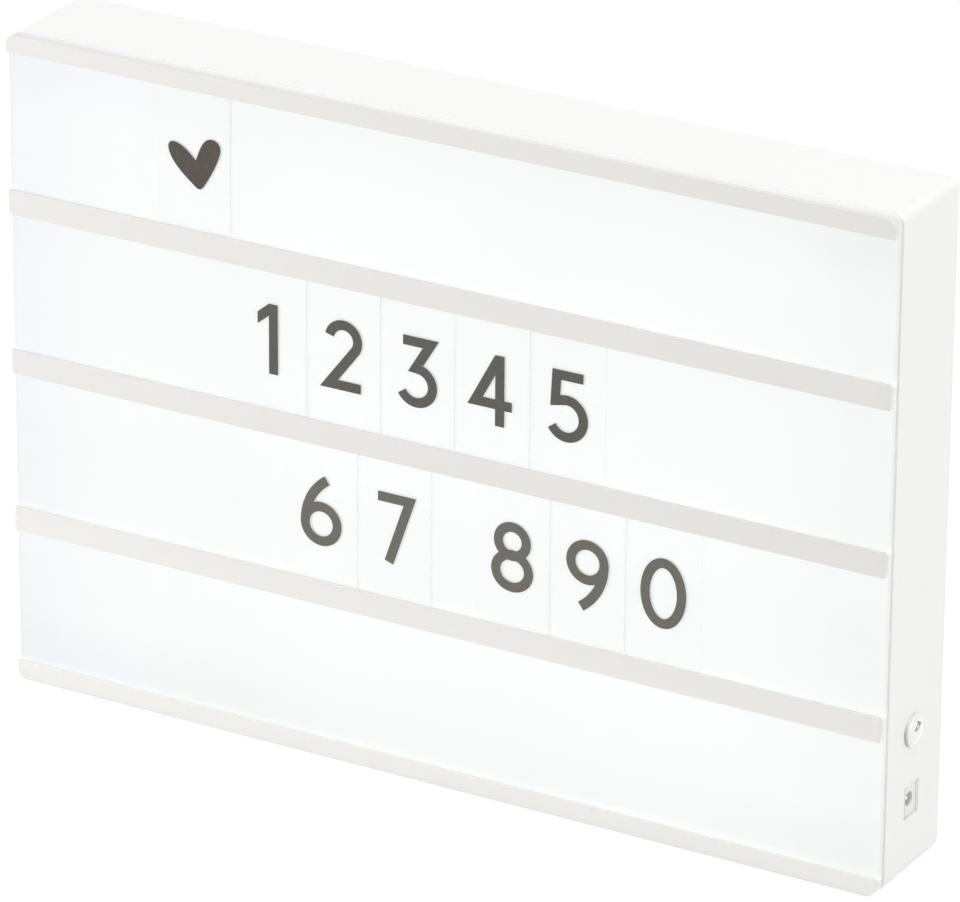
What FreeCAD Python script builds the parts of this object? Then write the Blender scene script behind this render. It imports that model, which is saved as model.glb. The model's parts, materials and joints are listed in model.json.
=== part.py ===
import FreeCAD, Part

import math
import os
import re

import Sketcher

# Cinema light box: a shallow white tub with a milky panel set in its front, four rows of
# card grooves between T-shaped rails, and a switch and a low-voltage socket in its right side.
# Frame: X to the right, Z up, the front faces -Y. The origin is the middle of the base.
# All sizes are in millimetres.

SIZES = {
    # the whole box
    "box_width": 423.0,
    "box_height": 300.0,
    "box_depth": 58.0,
    "corner_radius": 4.5,
    "back_edge_radius": 2.5,
    "wall": 2.2,
    "fit_gap": 0.3,
    "seam_width": 2.0,
    "seam_depth": 1.0,
    # rails and their card grooves
    "rail_height": 11.4,
    "edge_strip_height": 8.4,
    "rail_proud": 3.0,
    "rail_inset": 0.5,
    "flange_thickness": 1.2,
    "groove_depth": 3.1,
    "rail_round": 0.4,
    # milky front panel
    "panel_thickness": 2.4,
    "lip_depth": 3.0,
    "lip_wall": 1.6,
    "post_length": 8.0,
    "post_radius": 3.4,
    # letter cards
    "card_width": 35.8,
    "card_gap": 0.2,
    "card_thickness": 0.4,
    "card_play": 0.4,
    "card_standoff": 0.2,
    "first_row_start": -136.9,
    "second_row_start": -99.8,
    "third_row_start": -74.9,
    "third_row_space": 21.3,
    # screw towers of the housing
    "tower_inset": 12.0,
    "tower_lift": 4.0,
    "tower_wall": 1.0,
    "tower_rib": 1.6,
    "seat_thickness": 3.0,
    "screw_head_radius": 3.0,
    "screw_radius": 1.3,
    # reflector and what holds it
    "reflector_thickness": 1.5,
    "reflector_gap": 0.5,
    "boss_inset": 60.0,
    "boss_radius": 4.0,
    "boss_rib": 1.8,
    "window_inset": 12.0,
    "window_width": 16.0,
    "window_low": 42.0,
    "window_height": 21.0,
    # light strips
    "strip_margin": 31.5,
    "strip_height": 10.0,
    "strip_thickness": 1.2,
    "led_size": 5.0,
    "led_thickness": 1.6,
    "resistor_length": 3.2,
    "resistor_height": 1.6,
    "resistor_thickness": 0.6,
    "wire_radius": 0.75,
    "wire_spacing": 5.0,
    # cells and their bay
    "cell_radius": 7.15,
    "cell_length": 50.5,
    "cell_nub_radius": 2.75,
    "cell_nub_length": 1.4,
    "cell_space": 0.9,
    "cell_rest": 0.3,
    "contact_room": 5.2,
    "contact_thickness": 0.5,
    "contact_width": 9.0,
    "leaf_width": 6.0,
    "leaf_flat": 4.0,
    "leaf_foot_gap": 0.5,
    "leaf_clear": 0.05,
    "link_width": 4.4,
    "bay_wall": 1.6,
    "cradle_drop": 3.4,
    "cradle_foot": 3.6,
    "cradle_top": 0.9,
    "bay_centre_height": 95.0,
    # battery door
    "door_thickness": 1.8,
    "door_gap": 0.3,
    "door_seat_gap": 0.2,
    "door_ledge": 3.0,
    "hinge_radius": 1.8,
    "hinge_pin_radius": 1.0,
    "hinge_pin_length": 1.6,
    "hinge_play": 0.05,
    "latch_width": 16.0,
    "latch_thickness": 1.2,
    "latch_depth": 7.0,
    "latch_slot": 2.2,
    "latch_gap": 0.7,
    "grip_length": 24.0,
    "grip_width": 1.2,
    "grip_depth": 0.5,
    "grip_pitch": 3.0,
    "scoop_width": 26.0,
    "scoop_height": 9.0,
    "scoop_depth": 1.2,
    # rocker switch
    "switch_clear": 2.2,
    "switch_height": 65.1,
    "bezel_overlap": 0.95,
    "bezel_height": 2.3,
    "bezel_round": 0.7,
    "barrel_radius": 6.2,
    "barrel_length": 12.0,
    "barrel_play": 0.15,
    "barrel_wall": 1.1,
    "rocker_gap": 0.6,
    "rocker_bore_depth": 5.0,
    "rocker_face": 2.0,
    "rocker_skirt": 1.6,
    "rocker_tilt": 8.0,
    "actuator_length": 2.4,
    "actuator_width": 4.0,
    "actuator_tip": 1.6,
    "pivot_out": 0.9,
    "pivot_radius": 0.7,
    "pivot_play": 0.05,
    "terminal_length": 6.0,
    "terminal_width": 4.8,
    "terminal_thickness": 0.8,
    "terminal_spacing": 6.6,
    # low-voltage socket
    "socket_clear": 2.7,
    "socket_height": 32.8,
    "socket_window_width": 12.6,
    "socket_window_height": 15.2,
    "socket_recess": 1.2,
    "socket_play": 0.15,
    "socket_stop_thickness": 1.2,
    "socket_stop_overlap": 1.6,
    "socket_body_width": 9.0,
    "socket_body_height": 10.6,
    "socket_body_length": 14.0,
    "socket_bore_radius": 3.2,
    "socket_bore_depth": 9.8,
    "socket_pin_radius": 1.05,
    "socket_root_radius": 1.4,
    "socket_pin_recess": 0.8,
    "socket_pin_round": 0.4,
    "socket_leaf_width": 2.8,
    "socket_leaf_thickness": 0.3,
    "socket_leaf_drop": 1.0,
    "socket_leaf_bump": 0.6,
    "socket_leaf_slope": 2.0,
    "socket_slot_play": 0.2,
    "socket_tail_spacing": 3.5,
    "socket_tail_width": 2.6,
    "socket_tail_length": 4.0,
    # keyhole slots for a wall
    "keyhole_spacing": 220.0,
    "keyhole_drop": 38.0,
    "keyhole_entry_radius": 4.5,
    "keyhole_slot_radius": 2.3,
    "keyhole_rise": 8.0,
}

PAD = "PartDesign::Pad"
POCKET = "PartDesign::Pocket"
FRONT_VIEW = "XZ_Plane"
SIDE_VIEW = "YZ_Plane"
TOP_VIEW = "XY_Plane"

ROWS = 4
CELL_ROWS = 3
LEDS_PER_STRIP = 9
GRIPS = 4

# places along Y, from the rails' front to the back
FRONT = "(-box_depth / 2)"
PANEL_FRONT = "(-box_depth / 2 + rail_proud)"
PANEL_BACK = "(-box_depth / 2 + rail_proud + panel_thickness)"
SEAM_BACK = f"({PANEL_BACK} + seam_width)"
BACK = "(box_depth / 2)"
BACK_INSIDE = "(box_depth / 2 - wall)"
TOWER_FRONT = f"({PANEL_BACK} + post_length)"
SCREW_SEAT = f"({TOWER_FRONT} + seat_thickness)"
CELL_AXIS = f"({BACK} - door_thickness - door_seat_gap - cell_rest - cell_radius)"
BAY_FLOOR = f"({CELL_AXIS} - cell_radius - cell_rest)"
BAY_FRONT = f"({BAY_FLOOR} - bay_wall)"
REFLECTOR_BACK = f"({BAY_FRONT} - fit_gap)"
REFLECTOR_FRONT = f"({REFLECTOR_BACK} - reflector_thickness)"
STRIP_FRONT = f"({REFLECTOR_FRONT} - strip_thickness)"
SWITCH_AXIS = f"({REFLECTOR_FRONT} - switch_clear - barrel_radius)"
SOCKET_AXIS = f"({REFLECTOR_FRONT} - socket_clear - socket_body_width / 2)"
DOOR_SEAT = f"({BACK} - door_thickness - door_seat_gap)"
HINGE_AXIS = f"({BACK} - hinge_radius)"
CONTACT_LOW = f"({BAY_FLOOR} + cell_rest)"
CONTACT_HIGH = f"({DOOR_SEAT} - contact_thickness - cell_rest)"

# places along X
RIGHT = "(box_width / 2)"
RIGHT_INSIDE = "(box_width / 2 - wall)"
RAIL_END = "(box_width / 2 - rail_inset)"
STRIP_END = "(box_width / 2 - strip_margin)"
BAY_LENGTH = "(cell_length + contact_room + contact_thickness)"
BAY_END = f"({BAY_LENGTH} + bay_wall / 2)"
DOOR_END = f"({BAY_END} + door_ledge)"
CONNECTOR_END = f"({RIGHT} - barrel_length - terminal_length)"

# the switch's round sizes
BEZEL_RADIUS = "(barrel_radius + bezel_overlap)"
BORE_RADIUS = "(barrel_radius - barrel_wall)"
ROCKER_RADIUS = f"({BORE_RADIUS} - rocker_gap)"

# heights
ROW_CLEAR = "((box_height - 2 * edge_strip_height - 3 * rail_height) / 4)"
CELL_PITCH = "(2 * cell_radius + cell_space)"
BAY_HALF = f"(1.5 * {CELL_PITCH} + fit_gap)"
BAY_LOW = f"(bay_centre_height - {BAY_HALF})"
BAY_HIGH = f"(bay_centre_height + {BAY_HALF})"
HINGE_HEIGHT = f"({BAY_LOW} - door_ledge - hinge_radius)"
DOOR_LOW = f"({HINGE_HEIGHT} - hinge_radius)"
DOOR_HIGH = f"({BAY_HIGH} + door_ledge)"
LOW_TOWER = "(wall + tower_lift)"
HIGH_TOWER = "(box_height - wall - tower_lift)"
TOWER_RADIUS = "(screw_head_radius + fit_gap + tower_wall)"
LOW_BOSS = f"(edge_strip_height + {ROW_CLEAR} + rail_height / 2)"
HIGH_BOSS = f"(edge_strip_height + 3 * {ROW_CLEAR} + 2.5 * rail_height)"
BOSS_INSET = "(box_width / 2 - boss_inset)"

doc = FreeCAD.newDocument("CinemaLightBox")
sheet = doc.addObject("Spreadsheet::Sheet", "Sizes")


def fill_sheet():
    for row, (alias, number) in enumerate(SIZES.items(), start=1):
        sheet.set(f"A{row}", alias.replace("_", " "))
        sheet.set(f"B{row}", str(number))
        sheet.setAlias(f"B{row}", alias)
    doc.recompute()


def size(alias):
    """The number that the sheet holds for an alias."""
    return float(sheet.get(alias))


def bind(target, prop, formula):
    """Ties a property or a named constraint to a formula over the sheet's aliases."""
    words = re.sub(r"\b[a-z]\w+\b(?!\()", lambda word: "Sizes." + word.group(), formula)
    target.setExpression(prop, words)


def new_body(name):
    body = doc.addObject("PartDesign::Body", name)
    body.Label = name
    body.AllowCompound = True
    return body


def origin_feature(body, role):
    return [item for item in body.Origin.OriginFeatures if item.Role == role][0]


def pin_point(sketch, edge, end, across, up, tag):
    """Fixes one point of a sketch at a distance across and up from the sketch's origin."""
    for kind, formula in (("DistanceX", across), ("DistanceY", up)):
        made = sketch.addConstraint(Sketcher.Constraint(kind, -1, 1, edge, end, 0.0))
        sketch.renameConstraint(made, kind[-1].lower() + tag)
        bind(sketch, "Constraints." + kind[-1].lower() + tag, formula)


def draw_polygon(sketch, corners, tag):
    """A closed outline. Its lines start round a circle, and the constraints bring them home."""
    count = len(corners)
    spread = [FreeCAD.Vector(math.cos(turn), math.sin(turn), 0)
              for turn in (2 * math.pi * step / count for step in range(count))]
    lines = [sketch.addGeometry(Part.LineSegment(spread[i], spread[(i + 1) % count]), False)
             for i in range(count)]
    for i, line in enumerate(lines):
        sketch.addConstraint(Sketcher.Constraint("Coincident", line, 2, lines[(i + 1) % count], 1))
    for i, (across, up) in enumerate(corners):
        pin_point(sketch, lines[i], 1, across, up, f"{tag}{i}")


def draw_circle(sketch, across, up, radius, tag):
    place = FreeCAD.Vector(0, 0, 0)
    circle = sketch.addGeometry(Part.Circle(place, FreeCAD.Vector(0, 0, 1), 1.0), False)
    pin_point(sketch, circle, 3, across, up, tag)
    made = sketch.addConstraint(Sketcher.Constraint("Radius", circle, 1.0))
    sketch.renameConstraint(made, "r" + tag)
    bind(sketch, "Constraints.r" + tag, radius)


def new_sketch(body, name, plane, height="0", polygons=(), circles=()):
    """A sketch on one of the body's planes, moved to a height along that plane's axis."""
    sketch = body.newObject("Sketcher::SketchObject", name)
    sketch.AttachmentSupport = [(origin_feature(body, plane), "")]
    sketch.MapMode = "FlatFace"
    facing = "-1" if plane == FRONT_VIEW else "1"
    bind(sketch, "AttachmentOffset.Base.z", f"{facing} * ({height})")
    for number, corners in enumerate(polygons):
        draw_polygon(sketch, corners, f"p{number}n")
    for number, (across, up, radius) in enumerate(circles):
        draw_circle(sketch, across, up, radius, f"c{number}n")
    doc.recompute()
    return sketch


def prism(body, kind, name, plane, low, high, polygons=(), circles=()):
    """Pads or pockets an outline between two heights along the plane's axis."""
    sketch = new_sketch(body, name + "_outline", plane, low, polygons, circles)
    feature = body.newObject(kind, name)
    feature.Profile = sketch
    bind(feature, "Length", f"({high}) - ({low})")
    feature.Reversed = (kind == PAD) == (plane == FRONT_VIEW)
    return feature


def rectangle(left, low, right, high):
    return [(left, low), (right, low), (right, high), (left, high)]


def across_middle(half, low, high):
    """A rectangle that is centred on the sketch's upright axis."""
    return rectangle(f"-({half})", low, half, high)


def revolve(body, name, profile, axis="X_Axis"):
    """Turns a closed half profile in the XY plane about one of the body's axes."""
    sketch = new_sketch(body, name + "_profile", TOP_VIEW, polygons=[profile])
    feature = body.newObject("PartDesign::Revolution", name)
    feature.Profile = sketch
    feature.ReferenceAxis = (origin_feature(body, axis), [""])
    feature.Angle = 360
    return feature


def rod(body, kind, name, axis, start, centre, radius, length):
    """A round bar or hole. start is along its axis, centre is its other two coordinates."""
    feature = body.newObject("PartDesign::" + kind, name)
    turn = {"X": ((0, 1, 0), 90), "Y": ((1, 0, 0), -90), "Z": ((0, 0, 1), 0)}[axis]
    feature.Placement = FreeCAD.Placement(
        FreeCAD.Vector(), FreeCAD.Rotation(FreeCAD.Vector(*turn[0]), turn[1]))
    others = [letter for letter in "XYZ" if letter != axis]
    places = {axis: start, others[0]: centre[0], others[1]: centre[1]}
    for letter, formula in places.items():
        bind(feature, "Placement.Base." + letter.lower(), formula)
    bind(feature, "Radius", radius)
    bind(feature, "Height", length)
    return feature


def block(body, kind, name, low, high):
    """A box between two corners, each given by three formulas."""
    feature = body.newObject("PartDesign::" + kind, name)
    for letter, side, first, last in zip("xyz", ("Length", "Width", "Height"), low, high):
        bind(feature, "Placement.Base." + letter, first)
        bind(feature, side, f"({last}) - ({first})")
    return feature


def pattern(body, seed, directions):
    """Repeats a feature along one or two axes. Each direction is (axis, length, count)."""
    repeat = body.newObject("PartDesign::MultiTransform", seed.Name + "_repeated")
    repeat.Originals = [seed]
    steps = []
    for axis, length, count in directions:
        step = body.newObject("PartDesign::LinearPattern", f"{seed.Name}_along_{axis[0].lower()}")
        step.Direction = (origin_feature(body, axis), [""])
        bind(step, "Length", length)
        step.Occurrences = count
        steps.append(step)
    repeat.Transformations = steps
    body.Tip = repeat
    return repeat


def fillet(body, name, radius, wanted):
    """Rounds the edges of the body's last feature for which wanted is true."""
    doc.recompute()
    base = body.Tip
    edges = [f"Edge{i}" for i, edge in enumerate(base.Shape.Edges, start=1) if wanted(edge)]
    feature = body.newObject("PartDesign::Fillet", name)
    feature.Base = (base, edges)
    bind(feature, "Radius", radius)
    return feature


def runs_along(edge, axis):
    """True where a straight edge is parallel to the axis."""
    if edge.Curve.TypeId != "Part::GeomLine":
        return False
    return abs(abs(edge.Curve.Direction.dot(axis)) - 1) < 1e-6


ALONG_X = FreeCAD.Vector(1, 0, 0)
ALONG_Y = FreeCAD.Vector(0, 1, 0)
NEAR = 0.01


def middle(edge):
    return edge.BoundBox.Center


def place_body(body, across, deep, up, turn=None):
    """Sets where the body's own origin lies, and turns it about its Y or Z axis."""
    if turn:
        axis, degrees = turn
        body.Placement = FreeCAD.Placement(FreeCAD.Vector(), FreeCAD.Rotation(axis, degrees))
    bind(body, "Placement.Base.x", across)
    bind(body, "Placement.Base.y", deep)
    bind(body, "Placement.Base.z", up)


# ---------------------------------------------------------------- rear housing


def housing_shell(body):
    """The tub with its rounded edges, the thin rim in the seam, and the light chamber."""
    half_width = size("box_width") / 2
    height = size("box_height")
    rim = across_middle(f"{RIGHT} - seam_depth", "seam_depth", "box_height - seam_depth")
    prism(body, PAD, "rim", FRONT_VIEW, PANEL_BACK, SEAM_BACK, [rim])
    fillet(body, "rim_corners", "corner_radius - seam_depth",
           lambda edge: runs_along(edge, ALONG_Y))
    outside = across_middle(RIGHT, "0", "box_height")
    prism(body, PAD, "tub", FRONT_VIEW, SEAM_BACK, BACK, [outside])
    fillet(body, "tub_corners", "corner_radius",
           lambda edge: runs_along(edge, ALONG_Y) and abs(middle(edge).x) > half_width - NEAR)
    back = size("box_depth") / 2
    fillet(body, "back_edges", "back_edge_radius", lambda edge: edge.BoundBox.YMin > back - NEAR)
    inside = across_middle(RIGHT_INSIDE, "wall", "box_height - wall")
    prism(body, POCKET, "chamber", FRONT_VIEW, PANEL_BACK, BACK_INSIDE, [inside])

    def chamber_corner(edge):
        where = middle(edge)
        beside = abs(abs(where.x) - half_width + size("wall")) < NEAR
        above = abs(abs(where.z - height / 2) - height / 2 + size("wall")) < NEAR
        return runs_along(edge, ALONG_Y) and beside and above

    fillet(body, "chamber_corners", "corner_radius - wall", chamber_corner)


def tower_places():
    """The four screw towers stand in the corners."""
    aside = "(box_width / 2 - tower_inset)"
    return [(across, up) for across in (aside, f"-{aside}") for up in (LOW_TOWER, HIGH_TOWER)]


def housing_towers(body):
    """Four hollow towers that take the screws from the back into the front panel's posts."""
    places = tower_places()
    towers = [(across, up, TOWER_RADIUS) for across, up in places]
    prism(body, PAD, "towers", FRONT_VIEW, TOWER_FRONT, BACK_INSIDE, circles=towers)
    long_ribs = [across_middle(f"{RIGHT_INSIDE}", f"{up} - tower_rib / 2", f"{up} + tower_rib / 2")
                 for up in (LOW_TOWER, HIGH_TOWER)]
    prism(body, PAD, "tower_ribs", FRONT_VIEW, f"{BACK_INSIDE} - 2 * tower_lift", BACK_INSIDE,
          long_ribs)
    heads = [(across, up, "screw_head_radius + fit_gap") for across, up in places]
    prism(body, POCKET, "tower_bores", FRONT_VIEW, SCREW_SEAT, BACK, circles=heads)
    shanks = [(across, up, "screw_radius + fit_gap") for across, up in places]
    prism(body, POCKET, "tower_holes", FRONT_VIEW, TOWER_FRONT, SCREW_SEAT, circles=shanks)


def housing_bosses(body):
    """Four cross-shaped pillars on the back wall that carry the reflector."""
    for name, half_width, half_height in (("upright", "boss_rib / 2", "boss_radius"),
                                          ("level", "boss_radius", "boss_rib / 2")):
        arms = []
        for side in ("-1", "1"):
            for up in (LOW_BOSS, HIGH_BOSS):
                across = f"{side} * {BOSS_INSET}"
                arms.append(rectangle(f"{across} - {half_width}", f"{up} - {half_height}",
                                      f"{across} + {half_width}", f"{up} + {half_height}"))
        prism(body, PAD, f"boss_arms_{name}", FRONT_VIEW, REFLECTOR_BACK, BACK_INSIDE, arms)


def housing_bay(body):
    """The battery bay: walls on the inside, two hollows, the door's seat, hinge and latch."""
    bay = across_middle(f"{BAY_END} + bay_wall", f"{BAY_LOW} - bay_wall", f"{BAY_HIGH} + bay_wall")
    prism(body, PAD, "bay_walls", FRONT_VIEW, BAY_FRONT, BACK_INSIDE, [bay])
    frame = across_middle(f"{DOOR_END} + door_gap + hinge_pin_length + bay_wall",
                          f"{DOOR_LOW} - door_gap - bay_wall", f"{DOOR_HIGH} + door_gap + bay_wall")
    frame_front = f"({BACK} - 2 * hinge_radius - door_gap - bay_wall)"
    prism(body, PAD, "door_frame", FRONT_VIEW, frame_front, BACK_INSIDE, [frame])
    latch_half = "(latch_width / 2 + latch_gap)"
    latch_top = f"({DOOR_HIGH} + latch_slot + latch_thickness + latch_gap)"
    latch_box = across_middle("scoop_width / 2 + bay_wall", BAY_HIGH,
                              f"{DOOR_HIGH} + scoop_height + bay_wall")
    latch_floor = f"({BACK} - latch_depth - latch_gap)"
    prism(body, PAD, "latch_box", FRONT_VIEW, f"{latch_floor} - bay_wall", BACK_INSIDE, [latch_box])
    half_bays = [rectangle("bay_wall / 2", BAY_LOW, BAY_END, BAY_HIGH),
                 rectangle(f"-{BAY_END}", BAY_LOW, "-bay_wall / 2", BAY_HIGH)]
    prism(body, POCKET, "bay_hollows", FRONT_VIEW, BAY_FLOOR, BACK, half_bays)
    housing_cradles(body)
    seat = across_middle(f"{DOOR_END} + door_gap", f"{HINGE_HEIGHT}", f"{DOOR_HIGH} + door_gap")
    prism(body, POCKET, "door_seat", FRONT_VIEW, DOOR_SEAT, BACK, [seat])
    trough = across_middle(f"{DOOR_END} + door_gap", f"{DOOR_LOW} - door_gap",
                           f"{HINGE_HEIGHT} + hinge_radius + door_gap")
    prism(body, POCKET, "hinge_trough", FRONT_VIEW, f"{BACK} - 2 * hinge_radius - door_gap",
          BACK, [trough])
    reach = f"({DOOR_END} + door_gap + hinge_pin_length)"
    rod(body, "SubtractiveCylinder", "hinge_holes", "X", f"-{reach}", (HINGE_AXIS, HINGE_HEIGHT),
        "hinge_pin_radius + hinge_play", f"2 * {reach}")
    latch_hollow = across_middle(latch_half, f"{DOOR_HIGH} - latch_thickness - latch_gap", latch_top)
    prism(body, POCKET, "latch_hollow", FRONT_VIEW, latch_floor, BACK, [latch_hollow])
    scoop = [(f"{BACK} - scoop_depth", DOOR_HIGH), (BACK, DOOR_HIGH),
             (BACK, f"{DOOR_HIGH} + scoop_height")]
    prism(body, POCKET, "thumb_scoop", SIDE_VIEW, "-scoop_width / 2", "scoop_width / 2", [scoop])
    slot_half = "(link_width / 2 + fit_gap)"
    slots = [rectangle("-bay_wall / 2", f"{cell_height(row)} - {slot_half}", "bay_wall / 2",
                       f"{cell_height(row)} + {slot_half}") for row in range(CELL_ROWS)]
    prism(body, POCKET, "link_slots", FRONT_VIEW, CONTACT_HIGH, DOOR_SEAT, slots)
    wire_hole(body, "plus_wire_hole", BAY_END, cell_height(2))
    wire_hole(body, "minus_wire_hole", f"(-{BAY_END} - bay_wall)", cell_height(0))


def housing_cradles(body):
    """Low tapered ribs along the bay's floor that keep the rows of cells apart."""
    height = "(cell_radius + cell_rest - cradle_drop)"
    ribs = []
    for row in range(CELL_ROWS - 1):
        between = f"({cell_height(row)} + {CELL_PITCH} / 2)"
        ribs.append([(BAY_FLOOR, f"{between} - cradle_foot"),
                     (f"{BAY_FLOOR} + {height}", f"{between} - cradle_top"),
                     (f"{BAY_FLOOR} + {height}", f"{between} + cradle_top"),
                     (BAY_FLOOR, f"{between} + cradle_foot")])
    near = "(bay_wall / 2 + contact_room)"
    far = f"({BAY_END} - contact_room)"
    prism(body, PAD, "cradle_ribs_left", SIDE_VIEW, f"-{far}", f"-{near}", ribs)
    prism(body, PAD, "cradle_ribs_right", SIDE_VIEW, near, far, ribs)


def wire_hole(body, name, left, height):
    """A square hole in an end wall of the bay, with room for a wire."""
    half = "(wire_radius + fit_gap)"
    block(body, "SubtractiveBox", name,
          (left, f"{CELL_AXIS} - {half}", f"{height} - {half}"),
          (f"{left} + bay_wall", f"{CELL_AXIS} + {half}", f"{height} + {half}"))


def housing_openings(body):
    """Side openings for the switch and the socket, and two keyhole slots in the back."""
    rod(body, "SubtractiveCylinder", "switch_hole", "X", RIGHT_INSIDE,
        (SWITCH_AXIS, "switch_height"), "barrel_radius + barrel_play", "wall")
    block(body, "SubtractiveBox", "socket_window",
          (RIGHT_INSIDE, f"{SOCKET_AXIS} - socket_window_width / 2",
           "socket_height - socket_window_height / 2"),
          (RIGHT, f"{SOCKET_AXIS} + socket_window_width / 2",
           "socket_height + socket_window_height / 2"))
    entry_height = "(box_height - keyhole_drop)"
    entries = []
    ends = []
    slots = []
    for side in ("-1", "1"):
        across = f"{side} * keyhole_spacing / 2"
        entries.append((across, entry_height, "keyhole_entry_radius"))
        ends.append((across, f"{entry_height} + keyhole_rise", "keyhole_slot_radius"))
        slots.append(rectangle(f"{across} - keyhole_slot_radius", entry_height,
                               f"{across} + keyhole_slot_radius", f"{entry_height} + keyhole_rise"))
    prism(body, POCKET, "keyhole_entries", FRONT_VIEW, BACK_INSIDE, BACK, circles=entries)
    prism(body, POCKET, "keyhole_slots", FRONT_VIEW, BACK_INSIDE, BACK, slots)
    prism(body, POCKET, "keyhole_ends", FRONT_VIEW, BACK_INSIDE, BACK, circles=ends)


def make_housing():
    body = new_body("rear_housing")
    housing_shell(body)
    housing_towers(body)
    housing_bosses(body)
    housing_bay(body)
    housing_openings(body)


# ---------------------------------------------------------------- front panel and rails


def make_front_panel():
    """The milky panel, with a lip that locates it in the tub and four posts for the screws."""
    body = new_body("front_panel")
    edge = across_middle(RIGHT, "0", "box_height")
    prism(body, PAD, "panel", FRONT_VIEW, PANEL_FRONT, PANEL_BACK, [edge])
    fillet(body, "panel_corners", "corner_radius", lambda line: runs_along(line, ALONG_Y))
    inset = "(wall + fit_gap)"
    lip = across_middle(f"{RIGHT} - {inset}", inset, f"box_height - {inset}")
    hollow = across_middle(f"{RIGHT} - {inset} - lip_wall", f"{inset} + lip_wall",
                           f"box_height - {inset} - lip_wall")
    prism(body, PAD, "lip", FRONT_VIEW, PANEL_BACK, f"{PANEL_BACK} + lip_depth", [lip, hollow])
    half_width = size("box_width") / 2 - size("wall") - size("fit_gap")

    def lip_corner(line):
        return runs_along(line, ALONG_Y) and abs(abs(middle(line).x) - half_width) < NEAR

    fillet(body, "lip_corners", "corner_radius - wall - fit_gap", lip_corner)
    posts = [(across, up, "post_radius") for across, up in tower_places()]
    prism(body, PAD, "posts", FRONT_VIEW, PANEL_BACK, TOWER_FRONT, circles=posts)


def rail_front_edges(body, name):
    """Rounds the long front edges of a rail's flange that lie beside a row."""
    front = -size("box_depth") / 2

    def beside_row(line):
        where = middle(line)
        inside = NEAR < where.z < size("box_height") - NEAR
        return runs_along(line, ALONG_X) and inside and abs(where.y - front) < NEAR

    fillet(body, name, "rail_round", beside_row)


def make_middle_rail(name, number):
    """A T rail: a wide flange on a narrow web, with a card groove above and below the web."""
    body = new_body(name)
    low = f"(edge_strip_height + {number} * {ROW_CLEAR} + {number - 1} * rail_height)"
    high = f"({low} + rail_height)"
    flange_back = f"({FRONT} + flange_thickness)"
    section = [
        (FRONT, low), (flange_back, low),
        (flange_back, f"{low} + groove_depth"), (PANEL_FRONT, f"{low} + groove_depth"),
        (PANEL_FRONT, f"{high} - groove_depth"), (flange_back, f"{high} - groove_depth"),
        (flange_back, high), (FRONT, high),
    ]
    prism(body, PAD, name + "_section", SIDE_VIEW, f"-{RAIL_END}", RAIL_END, [section])
    rail_front_edges(body, name + "_rounds")


def make_edge_strip(name, outer, inner, inward):
    """An L strip along the top or bottom edge, with one card groove and two round corners."""
    body = new_body(name)
    flange_back = f"({FRONT} + flange_thickness)"
    web_edge = f"{inner} - ({inward}) * groove_depth"
    section = [
        (FRONT, outer), (PANEL_FRONT, outer), (PANEL_FRONT, web_edge),
        (flange_back, web_edge), (flange_back, inner), (FRONT, inner),
    ]
    prism(body, PAD, name + "_section", SIDE_VIEW, f"-{RAIL_END}", RAIL_END, [section])
    outside = size("box_height") if inward == "-1" else 0.0
    fillet(body, name + "_corners", "corner_radius",
           lambda line: runs_along(line, ALONG_Y) and abs(middle(line).z - outside) < NEAR)
    rail_front_edges(body, name + "_rounds")


def make_rails():
    make_edge_strip("rail_top", "box_height", "box_height - edge_strip_height", "-1")
    for name, number in (("rail_lower", 1), ("rail_middle", 2), ("rail_upper", 3)):
        make_middle_rail(name, number)
    make_edge_strip("rail_bottom", "0", "edge_strip_height", "1")


# ---------------------------------------------------------------- letter cards


def make_card(name, row, left):
    """One clear card, held by its top and bottom edges in the grooves of its row."""
    body = new_body(name)
    row_low = f"(edge_strip_height + {ROWS - row} * ({ROW_CLEAR} + rail_height))"
    height = f"({ROW_CLEAR} + 2 * groove_depth - card_play)"
    back = f"({PANEL_FRONT} - card_standoff)"
    prism(body, PAD, name + "_sheet", FRONT_VIEW, "-card_thickness", "0",
          [rectangle("0", "0", "card_width", height)])
    place_body(body, left, back, f"{row_low} - groove_depth + card_play / 2")


def make_cards():
    pitch = "(card_width + card_gap)"
    make_card("first_row_card", 1, "first_row_start")
    for number in range(5):
        make_card(f"second_row_card_{number + 1}", 2, f"second_row_start + {number} * {pitch}")
    for number in range(5):
        space = "third_row_space" if number >= 2 else "0"
        make_card(f"third_row_card_{number + 1}", 3,
                  f"third_row_start + {number} * {pitch} + {space}")


# ---------------------------------------------------------------- light source


STRIP_SPAN = f"({ROWS - 1} * ({ROW_CLEAR} + rail_height))"


def strip_height(number):
    """The height of a light strip's centre line, which is the middle of its row."""
    return f"(edge_strip_height + {ROW_CLEAR} / 2 + {number} * ({ROW_CLEAR} + rail_height))"


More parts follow.
